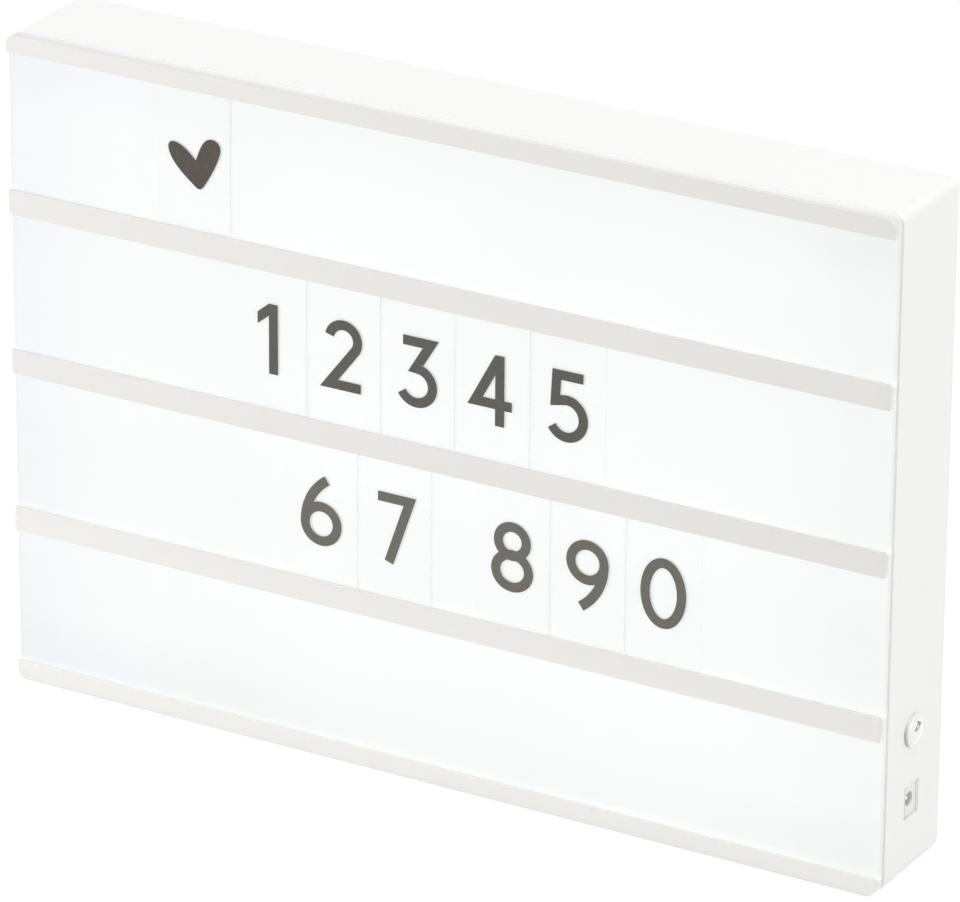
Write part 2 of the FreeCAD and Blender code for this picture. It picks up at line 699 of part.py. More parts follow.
def make_reflector():
    """The white sheet that carries the light strips. Its corners are cut away for the towers."""
    body = new_body("reflector_sheet")
    edge = "(wall + reflector_gap)"
    sheet_outline = across_middle(f"{RIGHT} - {edge}", edge, f"box_height - {edge}")
    prism(body, PAD, "reflector", FRONT_VIEW, REFLECTOR_FRONT, REFLECTOR_BACK, [sheet_outline])
    half_notch = f"({TOWER_RADIUS} + reflector_gap)"
    notches = []
    for across, up in tower_places():
        low = "0" if up == LOW_TOWER else f"{up} - {half_notch}"
        high = f"{up} + {half_notch}" if up == LOW_TOWER else "box_height"
        on_left = across.startswith("-")
        left = f"-{RIGHT}" if on_left else f"{across} - {half_notch}"
        right = f"{across} + {half_notch}" if on_left else RIGHT
        notches.append(rectangle(left, low, right, high))
    prism(body, POCKET, "tower_notches", FRONT_VIEW, REFLECTOR_FRONT, REFLECTOR_BACK, notches)
    window_right = "(box_width / 2 - window_inset)"
    window = rectangle(f"{window_right} - window_width", "window_low", window_right,
                       "window_low + window_height")
    prism(body, POCKET, "wire_window", FRONT_VIEW, REFLECTOR_FRONT, REFLECTOR_BACK, [window])


def make_light_strips():
    for number in range(ROWS):
        body = new_body(f"light_strip_{number + 1}")
        centre = strip_height(number)
        board = across_middle(STRIP_END, f"{centre} - strip_height / 2", f"{centre} + strip_height / 2")
        prism(body, PAD, f"board_{number + 1}", FRONT_VIEW, STRIP_FRONT, REFLECTOR_FRONT, [board])


def make_light_packages():
    """The light packages of all four strips."""
    body = new_body("light_packages")
    pitch = f"(2 * {STRIP_END} / {LEDS_PER_STRIP})"
    first = f"(-{STRIP_END} + {pitch} / 2)"
    centre = strip_height(0)
    package = block(body, "AdditiveBox", "package",
                    (f"{first} - led_size / 2", f"{STRIP_FRONT} - led_thickness",
                     f"{centre} - led_size / 2"),
                    (f"{first} + led_size / 2", STRIP_FRONT, f"{centre} + led_size / 2"))
    doc.recompute()
    pattern(body, package, [("X_Axis", f"{pitch} * {LEDS_PER_STRIP - 1}", LEDS_PER_STRIP),
                            ("Z_Axis", STRIP_SPAN, ROWS)])


def make_resistors():
    """One series resistor for every third package."""
    body = new_body("strip_resistors")
    pitch = f"(2 * {STRIP_END} / {LEDS_PER_STRIP})"
    first = f"(-{STRIP_END} + {pitch})"
    centre = strip_height(0)
    chip = block(body, "AdditiveBox", "chip",
                 (f"{first} - resistor_length / 2", f"{STRIP_FRONT} - resistor_thickness",
                  f"{centre} - resistor_height / 2"),
                 (f"{first} + resistor_length / 2", STRIP_FRONT, f"{centre} + resistor_height / 2"))
    doc.recompute()
    pattern(body, chip, [("X_Axis", f"{pitch} * {LEDS_PER_STRIP - 3}", LEDS_PER_STRIP // 3),
                         ("Z_Axis", STRIP_SPAN, ROWS)])


def make_strip_wires():
    """Two straight wires, a plus and a minus, that run up over the right ends of the strips."""
    body = new_body("strip_wires")
    wire = rod(body, "AdditiveCylinder", "strip_wire", "Z", strip_height(0),
               (f"{STRIP_END} - led_size / 2 - wire_spacing", f"{STRIP_FRONT} - wire_radius"),
               "wire_radius", STRIP_SPAN)
    doc.recompute()
    pattern(body, wire, [("X_Axis", "wire_spacing", 2)])


# ---------------------------------------------------------------- battery bay


def cell_height(row):
    return f"(bay_centre_height + {row - 1} * {CELL_PITCH})"


def points_right(row):
    """Neighbouring rows of cells lie in opposite directions."""
    return row % 2 == 0


def make_cells():
    """Six AA-size cells in two columns. Each one's own X axis runs from its base to its nub."""
    number = 0
    for column in (0, 1):
        for row in range(CELL_ROWS):
            number += 1
            body = new_body(f"battery_cell_{number}")
            shoulder = "(cell_length - cell_nub_length)"
            profile = [
                ("0", "0"), ("0", "cell_radius"), (shoulder, "cell_radius"),
                (shoulder, "cell_nub_radius"), ("cell_length", "cell_nub_radius"),
                ("cell_length", "0"),
            ]
            revolve(body, f"cell_{number}", profile)
            inner = "bay_wall / 2" if column else f"-bay_wall / 2 - {BAY_LENGTH}"
            if points_right(row):
                place_body(body, f"{inner} + contact_room", CELL_AXIS, cell_height(row))
            else:
                place_body(body, f"{inner} + contact_thickness + cell_length", CELL_AXIS,
                           cell_height(row), (FreeCAD.Vector(0, 0, 1), 180))


def plate_place(column, row):
    """Where a cell's plus plate meets the bay's end wall, and the way it faces."""
    inner = "bay_wall / 2" if column else f"-bay_wall / 2 - {BAY_LENGTH}"
    if points_right(row):
        return f"({inner} + {BAY_LENGTH})", "-1"
    return f"({inner})", "1"


def leaf_place(column, row):
    """Where a cell's minus leaf meets the bay's end wall, and the way it faces."""
    inner = "bay_wall / 2" if column else f"-bay_wall / 2 - {BAY_LENGTH}"
    if points_right(row):
        return f"({inner})", "1"
    return f"({inner} + {BAY_LENGTH})", "-1"


def every_cell():
    return [(column, row) for column in (0, 1) for row in range(CELL_ROWS)]


def upright_strip(wall, facing, near, far, low, high):
    """A rectangle in the top view, given by its distances from an end wall."""
    return [(f"{wall} + ({facing}) * ({near})", low), (f"{wall} + ({facing}) * ({far})", low),
            (f"{wall} + ({facing}) * ({far})", high), (f"{wall} + ({facing}) * ({near})", high)]


def make_plates():
    """The flat plates that the cells' nubs press on."""
    body = new_body("contact_plates")
    for number, (column, row) in enumerate(every_cell()):
        wall, facing = plate_place(column, row)
        plate = upright_strip(wall, facing, "0", "contact_thickness", CONTACT_LOW, CONTACT_HIGH)
        low = f"{cell_height(row)} - contact_width / 2"
        prism(body, PAD, f"plate_{number}", TOP_VIEW, low, f"{low} + contact_width", [plate])


def make_leaves():
    """Bowed leaves that push on the cells' bases: a foot on the wall, and an arm bent out."""
    body = new_body("contact_leaves")
    for number, (column, row) in enumerate(every_cell()):
        wall, facing = leaf_place(column, row)
        reach = "(contact_room - leaf_clear)"
        thick = "contact_thickness"
        flat_low = f"({CELL_AXIS} - leaf_flat / 2)"
        flat_high = f"({CELL_AXIS} + leaf_flat / 2)"
        outline = [
            ("0", CONTACT_LOW), (thick, CONTACT_LOW), (thick, f"{CONTACT_HIGH} - 2 * {thick}"),
            (f"{reach} - {thick}", flat_high), (f"{reach} - {thick}", flat_low),
            (f"{thick} + leaf_foot_gap", CONTACT_LOW),
            (f"{thick} + 2.4 * leaf_foot_gap", CONTACT_LOW),
            (reach, flat_low), (reach, flat_high),
            (f"2 * {thick}", CONTACT_HIGH), ("0", CONTACT_HIGH),
        ]
        leaf = [(f"{wall} + ({facing}) * ({out})", deep) for out, deep in outline]
        low = f"{cell_height(row)} - leaf_width / 2"
        prism(body, PAD, f"leaf_{number}", TOP_VIEW, low, f"{low} + leaf_width", [leaf])


def make_links():
    """Strips that put the cells in series: three over the divider, one on each end wall."""
    body = new_body("contact_links")
    half = "(bay_wall / 2 + contact_thickness)"
    for row in range(CELL_ROWS):
        block(body, "AdditiveBox", f"divider_link_{row}",
              (f"-{half}", CONTACT_HIGH, f"{cell_height(row)} - link_width / 2"),
              (half, f"{CONTACT_HIGH} + contact_thickness", f"{cell_height(row)} + link_width / 2"))
    for number, (side, row) in enumerate((("-1", 1), ("1", 0))):
        wall = f"{side} * {BAY_END}"
        strip = upright_strip(wall, f"-1 * {side}", "0", "contact_thickness",
                              f"{CELL_AXIS} - link_width / 2", f"{CELL_AXIS} + link_width / 2")
        low = f"({cell_height(row)} + {contact_half_width(side, row)})"
        high = f"({cell_height(row + 1)} - {contact_half_width(side, row + 1)})"
        prism(body, PAD, f"end_link_{number}", TOP_VIEW, low, high, [strip])


def contact_half_width(side, row):
    """Half the width of the contact that a row has on the right or left wall."""
    right_wall = side == "1"
    meets_plate = points_right(row) == right_wall
    return "contact_width / 2" if meets_plate else "leaf_width / 2"


def make_battery_door():
    """The door: a plate on a round hinge roll with two pins, and a folded latch at its top."""
    body = new_body("battery_door")
    plate = across_middle(DOOR_END, HINGE_HEIGHT, DOOR_HIGH)
    prism(body, PAD, "door_plate", FRONT_VIEW, f"{BACK} - door_thickness", BACK, [plate])
    rod(body, "AdditiveCylinder", "hinge_roll", "X", f"-{DOOR_END}", (HINGE_AXIS, HINGE_HEIGHT),
        "hinge_radius", f"2 * {DOOR_END}")
    reach = f"({DOOR_END} + hinge_pin_length)"
    rod(body, "AdditiveCylinder", "hinge_pins", "X", f"-{reach}", (HINGE_AXIS, HINGE_HEIGHT),
        "hinge_pin_radius", f"2 * {reach}")
    inner = f"({DOOR_HIGH} - latch_thickness)"
    outer = f"({DOOR_HIGH} + latch_slot)"
    fold = f"({BACK} - latch_depth)"
    section = [
        (f"{BACK} - door_thickness / 2", inner), (fold, inner),
        (fold, f"{outer} + latch_thickness"), (BACK, f"{outer} + latch_thickness"),
        (BACK, outer), (f"{fold} + latch_thickness", outer),
        (f"{fold} + latch_thickness", DOOR_HIGH), (f"{BACK} - door_thickness / 2", DOOR_HIGH),
    ]
    prism(body, PAD, "latch", SIDE_VIEW, "-latch_width / 2", "latch_width / 2", [section])
    grips = []
    for number in range(GRIPS):
        top = f"({DOOR_HIGH} - {number + 1} * grip_pitch)"
        grips.append(across_middle("grip_length / 2", f"{top} - grip_width", top))
    prism(body, POCKET, "grip_grooves", FRONT_VIEW, f"{BACK} - grip_depth", BACK, grips)


# ---------------------------------------------------------------- switch


def make_switch_body():
    """The switch's barrel, with the round bezel outside the wall and a bore for the rocker."""
    body = new_body("switch_body")
    profile = [
        ("-barrel_length", "0"), ("-barrel_length", "barrel_radius"), ("0", "barrel_radius"),
        ("0", BEZEL_RADIUS), ("bezel_height - bezel_round", BEZEL_RADIUS),
        ("bezel_height", f"{BEZEL_RADIUS} - bezel_round"), ("bezel_height", BORE_RADIUS),
        ("-rocker_bore_depth", BORE_RADIUS), ("-rocker_bore_depth", "0"),
    ]
    revolve(body, "switch_barrel", profile)
    half = "(barrel_radius + 2 * pivot_play)"
    rod(body, "SubtractiveCylinder", "pivot_holes", "Y", f"-{half}", ("pivot_out", "0"),
        "pivot_radius + pivot_play", f"2 * {half}")
    place_body(body, RIGHT, SWITCH_AXIS, "switch_height")


def make_rocker():
    """The rocker, drawn level about its own pivot and then tipped to the ON side."""
    body = new_body("switch_rocker")
    valley = "(rocker_face - pivot_out)"
    brim = f"({valley} + {ROCKER_RADIUS} * tan(rocker_tilt))"
    rod(body, "AdditiveCylinder", "rocker_disc", "X", "-rocker_skirt", ("0", "0"), ROCKER_RADIUS,
        f"{brim} + rocker_skirt")
    hollow = [(valley, "0"), (brim, ROCKER_RADIUS), (brim, f"-{ROCKER_RADIUS}")]
    prism(body, POCKET, "rocker_valley", FRONT_VIEW, f"-{ROCKER_RADIUS}", ROCKER_RADIUS, [hollow])
    tip = "(-rocker_skirt - actuator_length)"
    actuator = [("-rocker_skirt", "-actuator_width / 2"), ("-rocker_skirt", "actuator_width / 2"),
                (tip, "actuator_tip / 2"), (tip, "-actuator_tip / 2")]
    prism(body, PAD, "actuator", FRONT_VIEW, "-actuator_width / 2", "actuator_width / 2",
          [actuator])
    rod(body, "AdditiveCylinder", "pivot_stubs", "Y", "-barrel_radius", ("0", "0"),
        "pivot_radius", "2 * barrel_radius")
    place_body(body, f"{RIGHT} + pivot_out", SWITCH_AXIS, "switch_height",
               (FreeCAD.Vector(0, 1, 0), size("rocker_tilt")))


def make_switch_terminals():
    """Two flat tabs behind the barrel."""
    body = new_body("switch_terminals")
    tab = block(body, "AdditiveBox", "terminal",
                (CONNECTOR_END, f"{SWITCH_AXIS} - terminal_thickness / 2",
                 "switch_height - terminal_spacing / 2 - terminal_width / 2"),
                (f"{RIGHT} - barrel_length", f"{SWITCH_AXIS} + terminal_thickness / 2",
                 "switch_height - terminal_spacing / 2 + terminal_width / 2"))
    doc.recompute()
    pattern(body, tab, [("Z_Axis", "terminal_spacing", 2)])


# ---------------------------------------------------------------- low-voltage socket


LEAF_LOW = "(-socket_bore_radius - socket_leaf_drop)"
LEAF_END = "(-socket_recess - socket_leaf_slope)"


def make_socket():
    """The socket's moulding: a face in the wall's window, a stop behind it, and a bored block."""
    body = new_body("dc_socket")
    half_face_width = "(socket_window_width / 2 - socket_play)"
    half_face_height = "(socket_window_height / 2 - socket_play)"
    block(body, "AdditiveBox", "socket_face",
          ("-wall", f"-{half_face_width}", f"-{half_face_height}"),
          ("-socket_recess", half_face_width, half_face_height))
    stop_height = "(socket_window_height / 2 + socket_stop_overlap)"
    block(body, "AdditiveBox", "socket_stop",
          ("-wall - socket_stop_thickness", "-socket_body_width / 2", f"-{stop_height}"),
          ("-wall", "socket_body_width / 2", stop_height))
    block(body, "AdditiveBox", "socket_block",
          ("-socket_body_length", "-socket_body_width / 2", "-socket_body_height / 2"),
          ("-wall - socket_stop_thickness", "socket_body_width / 2", "socket_body_height / 2"))
    rod(body, "SubtractiveCylinder", "socket_bore", "X", "-socket_recess - socket_bore_depth",
        ("0", "0"), "socket_bore_radius", "socket_bore_depth")
    rod(body, "SubtractiveCylinder", "pin_hole", "X", "-socket_body_length", ("0", "0"),
        "socket_root_radius + pivot_play", "socket_body_length - socket_recess")
    half_slot = "(socket_leaf_width / 2 + socket_slot_play)"
    block(body, "SubtractiveBox", "leaf_slot",
          ("-socket_body_length", f"-{half_slot}", f"{LEAF_LOW} - socket_slot_play"),
          (f"{LEAF_END} + socket_slot_play", half_slot, "-socket_bore_radius / 2"))
    place_body(body, RIGHT, SOCKET_AXIS, "socket_height")


def make_socket_pin():
    """The centre pin, on a thicker root in the back of the socket, with a rounded tip."""
    body = new_body("dc_centre_pin")
    tip = "(-socket_recess - socket_pin_recess)"
    bore_floor = "(-socket_recess - socket_bore_depth)"
    profile = [
        ("-socket_body_length", "0"), ("-socket_body_length", "socket_root_radius"),
        (bore_floor, "socket_root_radius"), (bore_floor, "socket_pin_radius"),
        (f"{tip} - socket_pin_round", "socket_pin_radius"),
        (tip, "socket_pin_radius - socket_pin_round"), (tip, "0"),
    ]
    revolve(body, "centre_pin", profile)
    place_body(body, RIGHT, SOCKET_AXIS, "socket_height")


def make_socket_contact():
    """The spring leaf that touches a plug's sleeve, with its bump inside the bore."""
    body = new_body("dc_contact")
    upper = f"({LEAF_LOW} + socket_leaf_thickness)"
    bump = "(-socket_bore_radius + socket_leaf_bump)"
    section = [
        ("-socket_body_length", LEAF_LOW), (LEAF_END, LEAF_LOW), (LEAF_END, upper),
        (f"{LEAF_END} - socket_leaf_slope", bump), (f"{LEAF_END} - 2 * socket_leaf_slope", upper),
        ("-socket_body_length", upper),
    ]
    prism(body, PAD, "contact_leaf", FRONT_VIEW, "-socket_leaf_width / 2",
          "socket_leaf_width / 2", [section])
    place_body(body, RIGHT, SOCKET_AXIS, "socket_height")


def make_socket_tails():
    """Three solder tails behind the socket."""
    body = new_body("dc_tails")
    low = "socket_height - socket_tail_spacing - socket_tail_width / 2"
    tail = block(body, "AdditiveBox", "tail",
                 (f"{RIGHT} - socket_body_length - socket_tail_length",
                  f"{SOCKET_AXIS} - terminal_thickness / 2", low),
                 (f"{RIGHT} - socket_body_length", f"{SOCKET_AXIS} + terminal_thickness / 2",
                  f"{low} + socket_tail_width"))
    doc.recompute()
    pattern(body, tail, [("Z_Axis", "2 * socket_tail_spacing", 3)])


# ---------------------------------------------------------------- the whole part


def sub_parts():
    """The document's objects that are pieces of the box."""
    return [item for item in doc.Objects if item.TypeId == "PartDesign::Body"]


def check_document():
    """Stops unless every object is sound and every cut and pad changed its body."""
    for item in doc.Objects:
        if "Invalid" in item.State or "Error" in item.State:
            raise ValueError(f"{item.Name} is {item.State}")
    for piece in sub_parts():
        if piece.Shape.isNull() or not piece.Shape.isValid() or not piece.Shape.Solids:
            raise ValueError(f"{piece.Label} has no sound solid")
        check_steps(piece)


def check_steps(body):
    """Each pad must add volume and each pocket take it away."""
    before = 0.0
    for feature in body.Group:
        if not hasattr(feature, "BaseFeature") or feature.TypeId == "PartDesign::LinearPattern":
            continue
        now = feature.Shape.Volume
        cuts = feature.TypeId == POCKET or "Subtractive" in feature.TypeId
        grows = feature.TypeId == PAD or "Additive" in feature.TypeId
        if cuts and now > before - 1e-6 or grows and now < before + 1e-6:
            raise ValueError(f"{feature.Name} changes nothing")
        before = now


def write_parts():
    os.makedirs("parts", exist_ok=True)
    for piece in sub_parts():
        piece.Shape.exportStep(f"parts/{piece.Label}.step")


def main():
    fill_sheet()
    make_housing()
    make_front_panel()
    make_rails()
    make_cards()
    make_reflector()
    make_light_strips()
    make_light_packages()
    make_resistors()
    make_strip_wires()
    make_cells()
    make_plates()
    make_leaves()
    make_links()
    make_battery_door()
    make_switch_body()
    make_rocker()
    make_switch_terminals()
    make_socket()
    make_socket_pin()
    make_socket_contact()
    make_socket_tails()
    doc.recompute()
    check_document()
    write_parts()


main()
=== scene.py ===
"""Looks of the light box: materials, prints on the cards, housing screws, studio and camera."""
import json
import math

import bpy
from mathutils import Matrix, Vector, geometry
from mathutils.bvhtree import BVHTree


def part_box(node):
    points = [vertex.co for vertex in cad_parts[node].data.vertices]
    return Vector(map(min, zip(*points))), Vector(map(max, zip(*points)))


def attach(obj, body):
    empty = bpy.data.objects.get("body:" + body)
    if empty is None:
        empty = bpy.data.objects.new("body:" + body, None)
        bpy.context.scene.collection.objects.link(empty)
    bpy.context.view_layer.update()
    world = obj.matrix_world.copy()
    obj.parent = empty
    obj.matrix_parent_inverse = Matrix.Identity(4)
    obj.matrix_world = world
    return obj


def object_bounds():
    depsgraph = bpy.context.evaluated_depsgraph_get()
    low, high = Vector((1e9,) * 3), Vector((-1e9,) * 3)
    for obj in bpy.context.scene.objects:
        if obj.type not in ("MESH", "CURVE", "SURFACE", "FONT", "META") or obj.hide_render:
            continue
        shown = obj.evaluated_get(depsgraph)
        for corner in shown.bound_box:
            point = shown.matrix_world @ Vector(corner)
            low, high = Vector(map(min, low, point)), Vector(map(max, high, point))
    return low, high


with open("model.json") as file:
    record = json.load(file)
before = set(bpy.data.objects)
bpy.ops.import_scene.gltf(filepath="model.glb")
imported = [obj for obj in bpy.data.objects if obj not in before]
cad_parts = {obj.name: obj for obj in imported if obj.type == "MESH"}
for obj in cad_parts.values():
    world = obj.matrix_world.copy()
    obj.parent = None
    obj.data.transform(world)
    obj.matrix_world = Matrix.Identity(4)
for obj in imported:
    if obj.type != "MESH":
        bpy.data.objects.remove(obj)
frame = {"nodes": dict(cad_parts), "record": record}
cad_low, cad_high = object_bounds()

NODES = frame["nodes"]
RECORD = frame["record"]
MM = 0.001
TURN = 2 * math.pi


# ---------------------------------------------------------------- shader nodes

def feed(tree, node, socket, value):
    """Gives a node's socket a number, a colour or another node's output."""
    target = node.inputs[socket]
    if isinstance(value, bpy.types.NodeSocket):
        tree.links.new(value, target)
    elif target.type == "RGBA" and len(value) == 3:
        target.default_value = (*value, 1.0)
    else:
        target.default_value = value


def add_node(tree, kind, values=None, **settings):
    """A new node with those settings, and with those values or links on its sockets."""
    node = tree.nodes.new("ShaderNode" + kind)
    for name, value in settings.items():
        setattr(node, name, value)
    for socket, value in (values or {}).items():
        feed(tree, node, socket, value)
    return node


class Paint:
    """A material with one Principled shader, and the nodes that drive it."""

    def __init__(self, name, colour, roughness, **plain):
        self.material = bpy.data.materials.new(name)
        self.material.use_nodes = True
        self.tree = self.material.node_tree
        self.shader = self.tree.nodes["Principled BSDF"]
        self.colour(colour)
        self.rough(roughness)
        for socket, value in plain.items():
            self.set(socket, value)
        self.place = self.add("TexCoord").outputs["Object"]

    # what the shader gets

    def set(self, socket, value):
        feed(self.tree, self.shader, socket, value)

    def colour(self, value):
        self.set("Base Color", value)

    def rough(self, value):
        self.set("Roughness", value)

    def normal(self, value):
        self.set("Normal", value)

    def glow(self, colour, strength):
        self.set("Emission Color", colour)
        self.set("Emission Strength", strength)

    # nodes

    def add(self, kind, values=None, **settings):
        return add_node(self.tree, kind, values, **settings)

    def math(self, operation, first, second=0.0, clamp=False):
        values = {0: first, 1: second}
        return self.add("Math", values, operation=operation, use_clamp=clamp).outputs[0]

    def plus(self, first, second):
        return self.math("ADD", first, second)

    def minus(self, first, second):
        return self.math("SUBTRACT", first, second)

    def times(self, first, second):
        return self.math("MULTIPLY", first, second)

    def larger(self, first, second):
        return self.math("MAXIMUM", first, second)

    def absolute(self, value):
        return self.math("ABSOLUTE", value)

    def away(self, aside, above):
        """How far a place is from a point that it lies that much aside of and above."""
        squares = self.plus(self.times(aside, aside), self.times(above, above))
        return self.math("SQRT", squares)

    def wrapped(self, value, length):
        """The value, counted from 0 again at each multiple of length."""
        return self.add("Math", {0: value, 1: length, 2: 0.0}, operation="WRAP").outputs[0]

    def axes(self, place=None):
        """x, y and z of a place on the surface, in the row frame."""
        return self.add("SeparateXYZ", {0: place or self.place}).outputs[:3]

    def facing(self):
        """x, y and z of the direction that the surface faces."""
        return self.axes(self.add("TexCoord").outputs["Normal"])

    def spread(self, value, low, high, start=0.0, end=1.0):
        """Goes smoothly from start to end while value goes from low to high."""
        values = {"Value": value, "From Min": low, "From Max": high, "To Min": start, "To Max": end}
        return self.add("MapRange", values, interpolation_type="SMOOTHSTEP").outputs["Result"]

    def noise(self, size, detail=2.0, stretch=(1, 1, 1), shift=0.0):
        """Noise from 0 to 1 with spots of that size, drawn out along each axis by its stretch."""
        scale = [1 / (size * share) for share in stretch]
        moved = self.add("Mapping", {"Vector": self.place, "Location": (shift, shift, shift),
                                     "Scale": scale})
        noise = self.add("TexNoise", {"Vector": moved.outputs[0], "Scale": 1.0, "Detail": detail})
        return noise.outputs[0]

    def mix(self, share, first, second, blend="MIX"):
        """The first colour where share is 0, and the second blended with it where it is 1."""
        values = {0: share, 6: first, 7: second}
        return self.add("Mix", values, data_type="RGBA", blend_type=blend).outputs[2]

    def bump(self, height, distance, under=None):
        values = {"Height": height, "Distance": distance, "Strength": 1.0}
        if under is not None:
            values["Normal"] = under
        return self.add("Bump", values).outputs["Normal"]

    def soft_edges(self, radius):
        """The normal of the surface with its edges rounded off."""
        return self.add("Bevel", {"Radius": radius}, samples=4).outputs[0]


# ---------------------------------------------------------------- what the materials share

PLASTIC_IOR, CLEAR_IOR, INK_IOR = 1.49, 1.5, 1.45
# Colour of the painted glow in the housing's upper seam and in the switch's bore.
PAINTED_LEAK_GLOW = (1.0, 1.0, 0.99)
RIGHT_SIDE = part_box("rear_housing")[1].x


def scaled(colour, *shares):
    """A colour with its three channels times three shares, or all of them times one."""
    shares = shares if len(shares) == 3 else shares * 3
    return [channel * share for channel, share in zip(colour, shares)]


def ring_distance(paint, node):
    """How far a place on the right side is from the middle of a round node's own box."""
    low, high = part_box(node)
    _, y, z = paint.axes()
    return paint.away(paint.minus(y, (low.y + high.y) / 2), paint.minus(z, (low.z + high.z) / 2))


def wear(paint, size, low, high):
    """A few soft patches: 0 on most of the surface and 1 in the middle of each."""
    return paint.spread(paint.noise(size, 4.0, shift=3.7), low, high)


def shaded(paint, share, shade):
    """Darkens the colour that is set so far, where share is 1, to shade times itself."""
    under = paint.shader.inputs["Base Color"].links[0].from_socket
    dark = paint.mix(1.0, under, (shade, shade * 0.99, shade * 0.97), blend="MULTIPLY")
    paint.colour(paint.mix(share, under, dark))


def moulded(name, colour, roughness, grain, edge):
    """Injection-moulded plastic: fine spark-eroded grain, faint flow marks and handled patches."""
    paint = Paint(name, colour, roughness, IOR=PLASTIC_IOR)
    base = paint.mix(paint.noise(90 * MM, 3.0), colour, scaled(colour, 0.988))
    handled = paint.times(wear(paint, 45 * MM, 0.58, 0.8), 0.35)
    paint.colour(paint.mix(handled, base, scaled(colour, 0.985, 0.975, 0.95)))
    gloss = paint.plus(paint.times(paint.noise(22 * MM, 4.0), 0.10), roughness - 0.05)
    paint.rough(paint.minus(gloss, paint.times(wear(paint, 30 * MM, 0.6, 0.75), 0.05)))
    waves = paint.bump(paint.noise(7 * MM, 2.0), 0.012 * MM, under=paint.soft_edges(edge))
    paint.normal(paint.bump(paint.noise(grain, 2.0), 0.006 * MM, under=waves))
    return paint


def polished(name, colour):
    """Polished moulding with faint haze and hairlines."""
    paint = Paint(name, colour, 0.22, IOR=CLEAR_IOR)
    paint.colour(paint.mix(paint.noise(6 * MM, 3.0), colour, scaled(colour, 0.985)))
    haze = paint.times(paint.noise(3 * MM, 4.0), 0.14)
    lines = paint.spread(paint.noise(0.09 * MM, 2.0, stretch=(1, 30, 1)), 0.68, 0.8)
    paint.rough(paint.plus(paint.plus(0.15, haze), paint.times(lines, 0.1)))
    paint.normal(paint.bump(paint.noise(1.3 * MM, 2.0), 0.004 * MM,
                            under=paint.soft_edges(0.12 * MM)))
    return paint


def metal(name, colour, roughness, grain, stretch):
    """Plated sheet metal with rolling lines and dull spots."""
    paint = Paint(name, colour, roughness, Metallic=1.0)
    lines = paint.noise(grain, 3.0, stretch=stretch)
    dull = wear(paint, 2.5 * MM, 0.52, 0.72)
    base = paint.mix(lines, colour, scaled(colour, 0.93))
    paint.colour(paint.mix(paint.times(dull, 0.45), base, scaled(colour, 0.80, 0.77, 0.70)))
    paint.rough(paint.plus(paint.plus(roughness - 0.06, paint.times(lines, 0.12)),
                           paint.times(dull, 0.12)))
    paint.normal(paint.bump(lines, 0.004 * MM, under=paint.soft_edges(0.08 * MM)))
    return paint


def ink_paint(name, colour):
    """Screen-printed ink with slightly uneven cover."""
    paint = Paint(name, colour, 0.5, IOR=INK_IOR)
    thin = paint.spread(paint.noise(1.6 * MM, 4.0), 0.35, 0.75)
    paint.colour(paint.mix(thin, colour, scaled(colour, 1.18)))
    paint.rough(paint.plus(0.45, paint.times(paint.noise(0.6 * MM, 3.0), 0.1)))
    paint.normal(paint.bump(paint.noise(0.18 * MM, 2.0), 0.004 * MM))
    return paint


# ---------------------------------------------------------------- outer materials

SEAM_WIDTH = 2 * MM
SEAM_PAINTED_GLOW, SEAM_PAINTED_SHADE = 0.10, 0.96
BEZEL_FOOT_PAINTED_SHADE = 0.88


def housing_paint():
    """The housing's plastic: painted glow in its upper seam, painted shade in the others."""
    paint = moulded("housing_white", (0.915, 0.913, 0.908), 0.46, 0.28 * MM, 0.35 * MM)
    low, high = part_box("rear_housing")
    x, y, z = paint.axes()
    seam_end = low.y + SEAM_WIDTH
    in_seam = paint.spread(y, seam_end + 0.15 * MM, seam_end + 0.05 * MM)
    at_top = paint.spread(z, high.z - 3 * MM, high.z - 1.4 * MM)
    at_right = paint.times(paint.spread(x, high.x - 2.4 * MM, high.x - 1.4 * MM),
                           paint.minus(1.0, at_top))
    # Painted light: the upper seam glows, standing in for the panel's light that fills it.
    paint.glow(PAINTED_LEAK_GLOW, paint.times(paint.times(in_seam, at_top), SEAM_PAINTED_GLOW))
    # Painted shade: the right seam's colour is darkened where shade falls in the groove.
    shaded(paint, paint.times(in_seam, at_right), SEAM_PAINTED_SHADE)
    # Painted shade: a ring of contact shadow on the side round the foot of the switch's bezel.
    bezel_low, bezel_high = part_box("switch_body")
    bezel = (bezel_high.z - bezel_low.z) / 2
    foot = paint.spread(ring_distance(paint, "switch_body"), bezel + 0.9 * MM, bezel + 0.1 * MM)
    on_side = paint.spread(x, high.x - 1 * MM, high.x - 0.5 * MM)
    shaded(paint, paint.times(foot, on_side), BEZEL_FOOT_PAINTED_SHADE)
    return paint


PANEL_GLOW = 0.500
PANEL_TOP_GLOW, PANEL_SIDE_GLOW = 0.80, 0.82
# The tint of the panel's light at its cool left end, in most places, and where it is brightest.
PANEL_COOL = (0.965, 0.970, 1.0)
PANEL_FRESH = (0.982, 1.0, 0.976)
PANEL_BRIGHT = (0.996, 1.0, 0.992)
ABOVE, BELOW = 1, -1


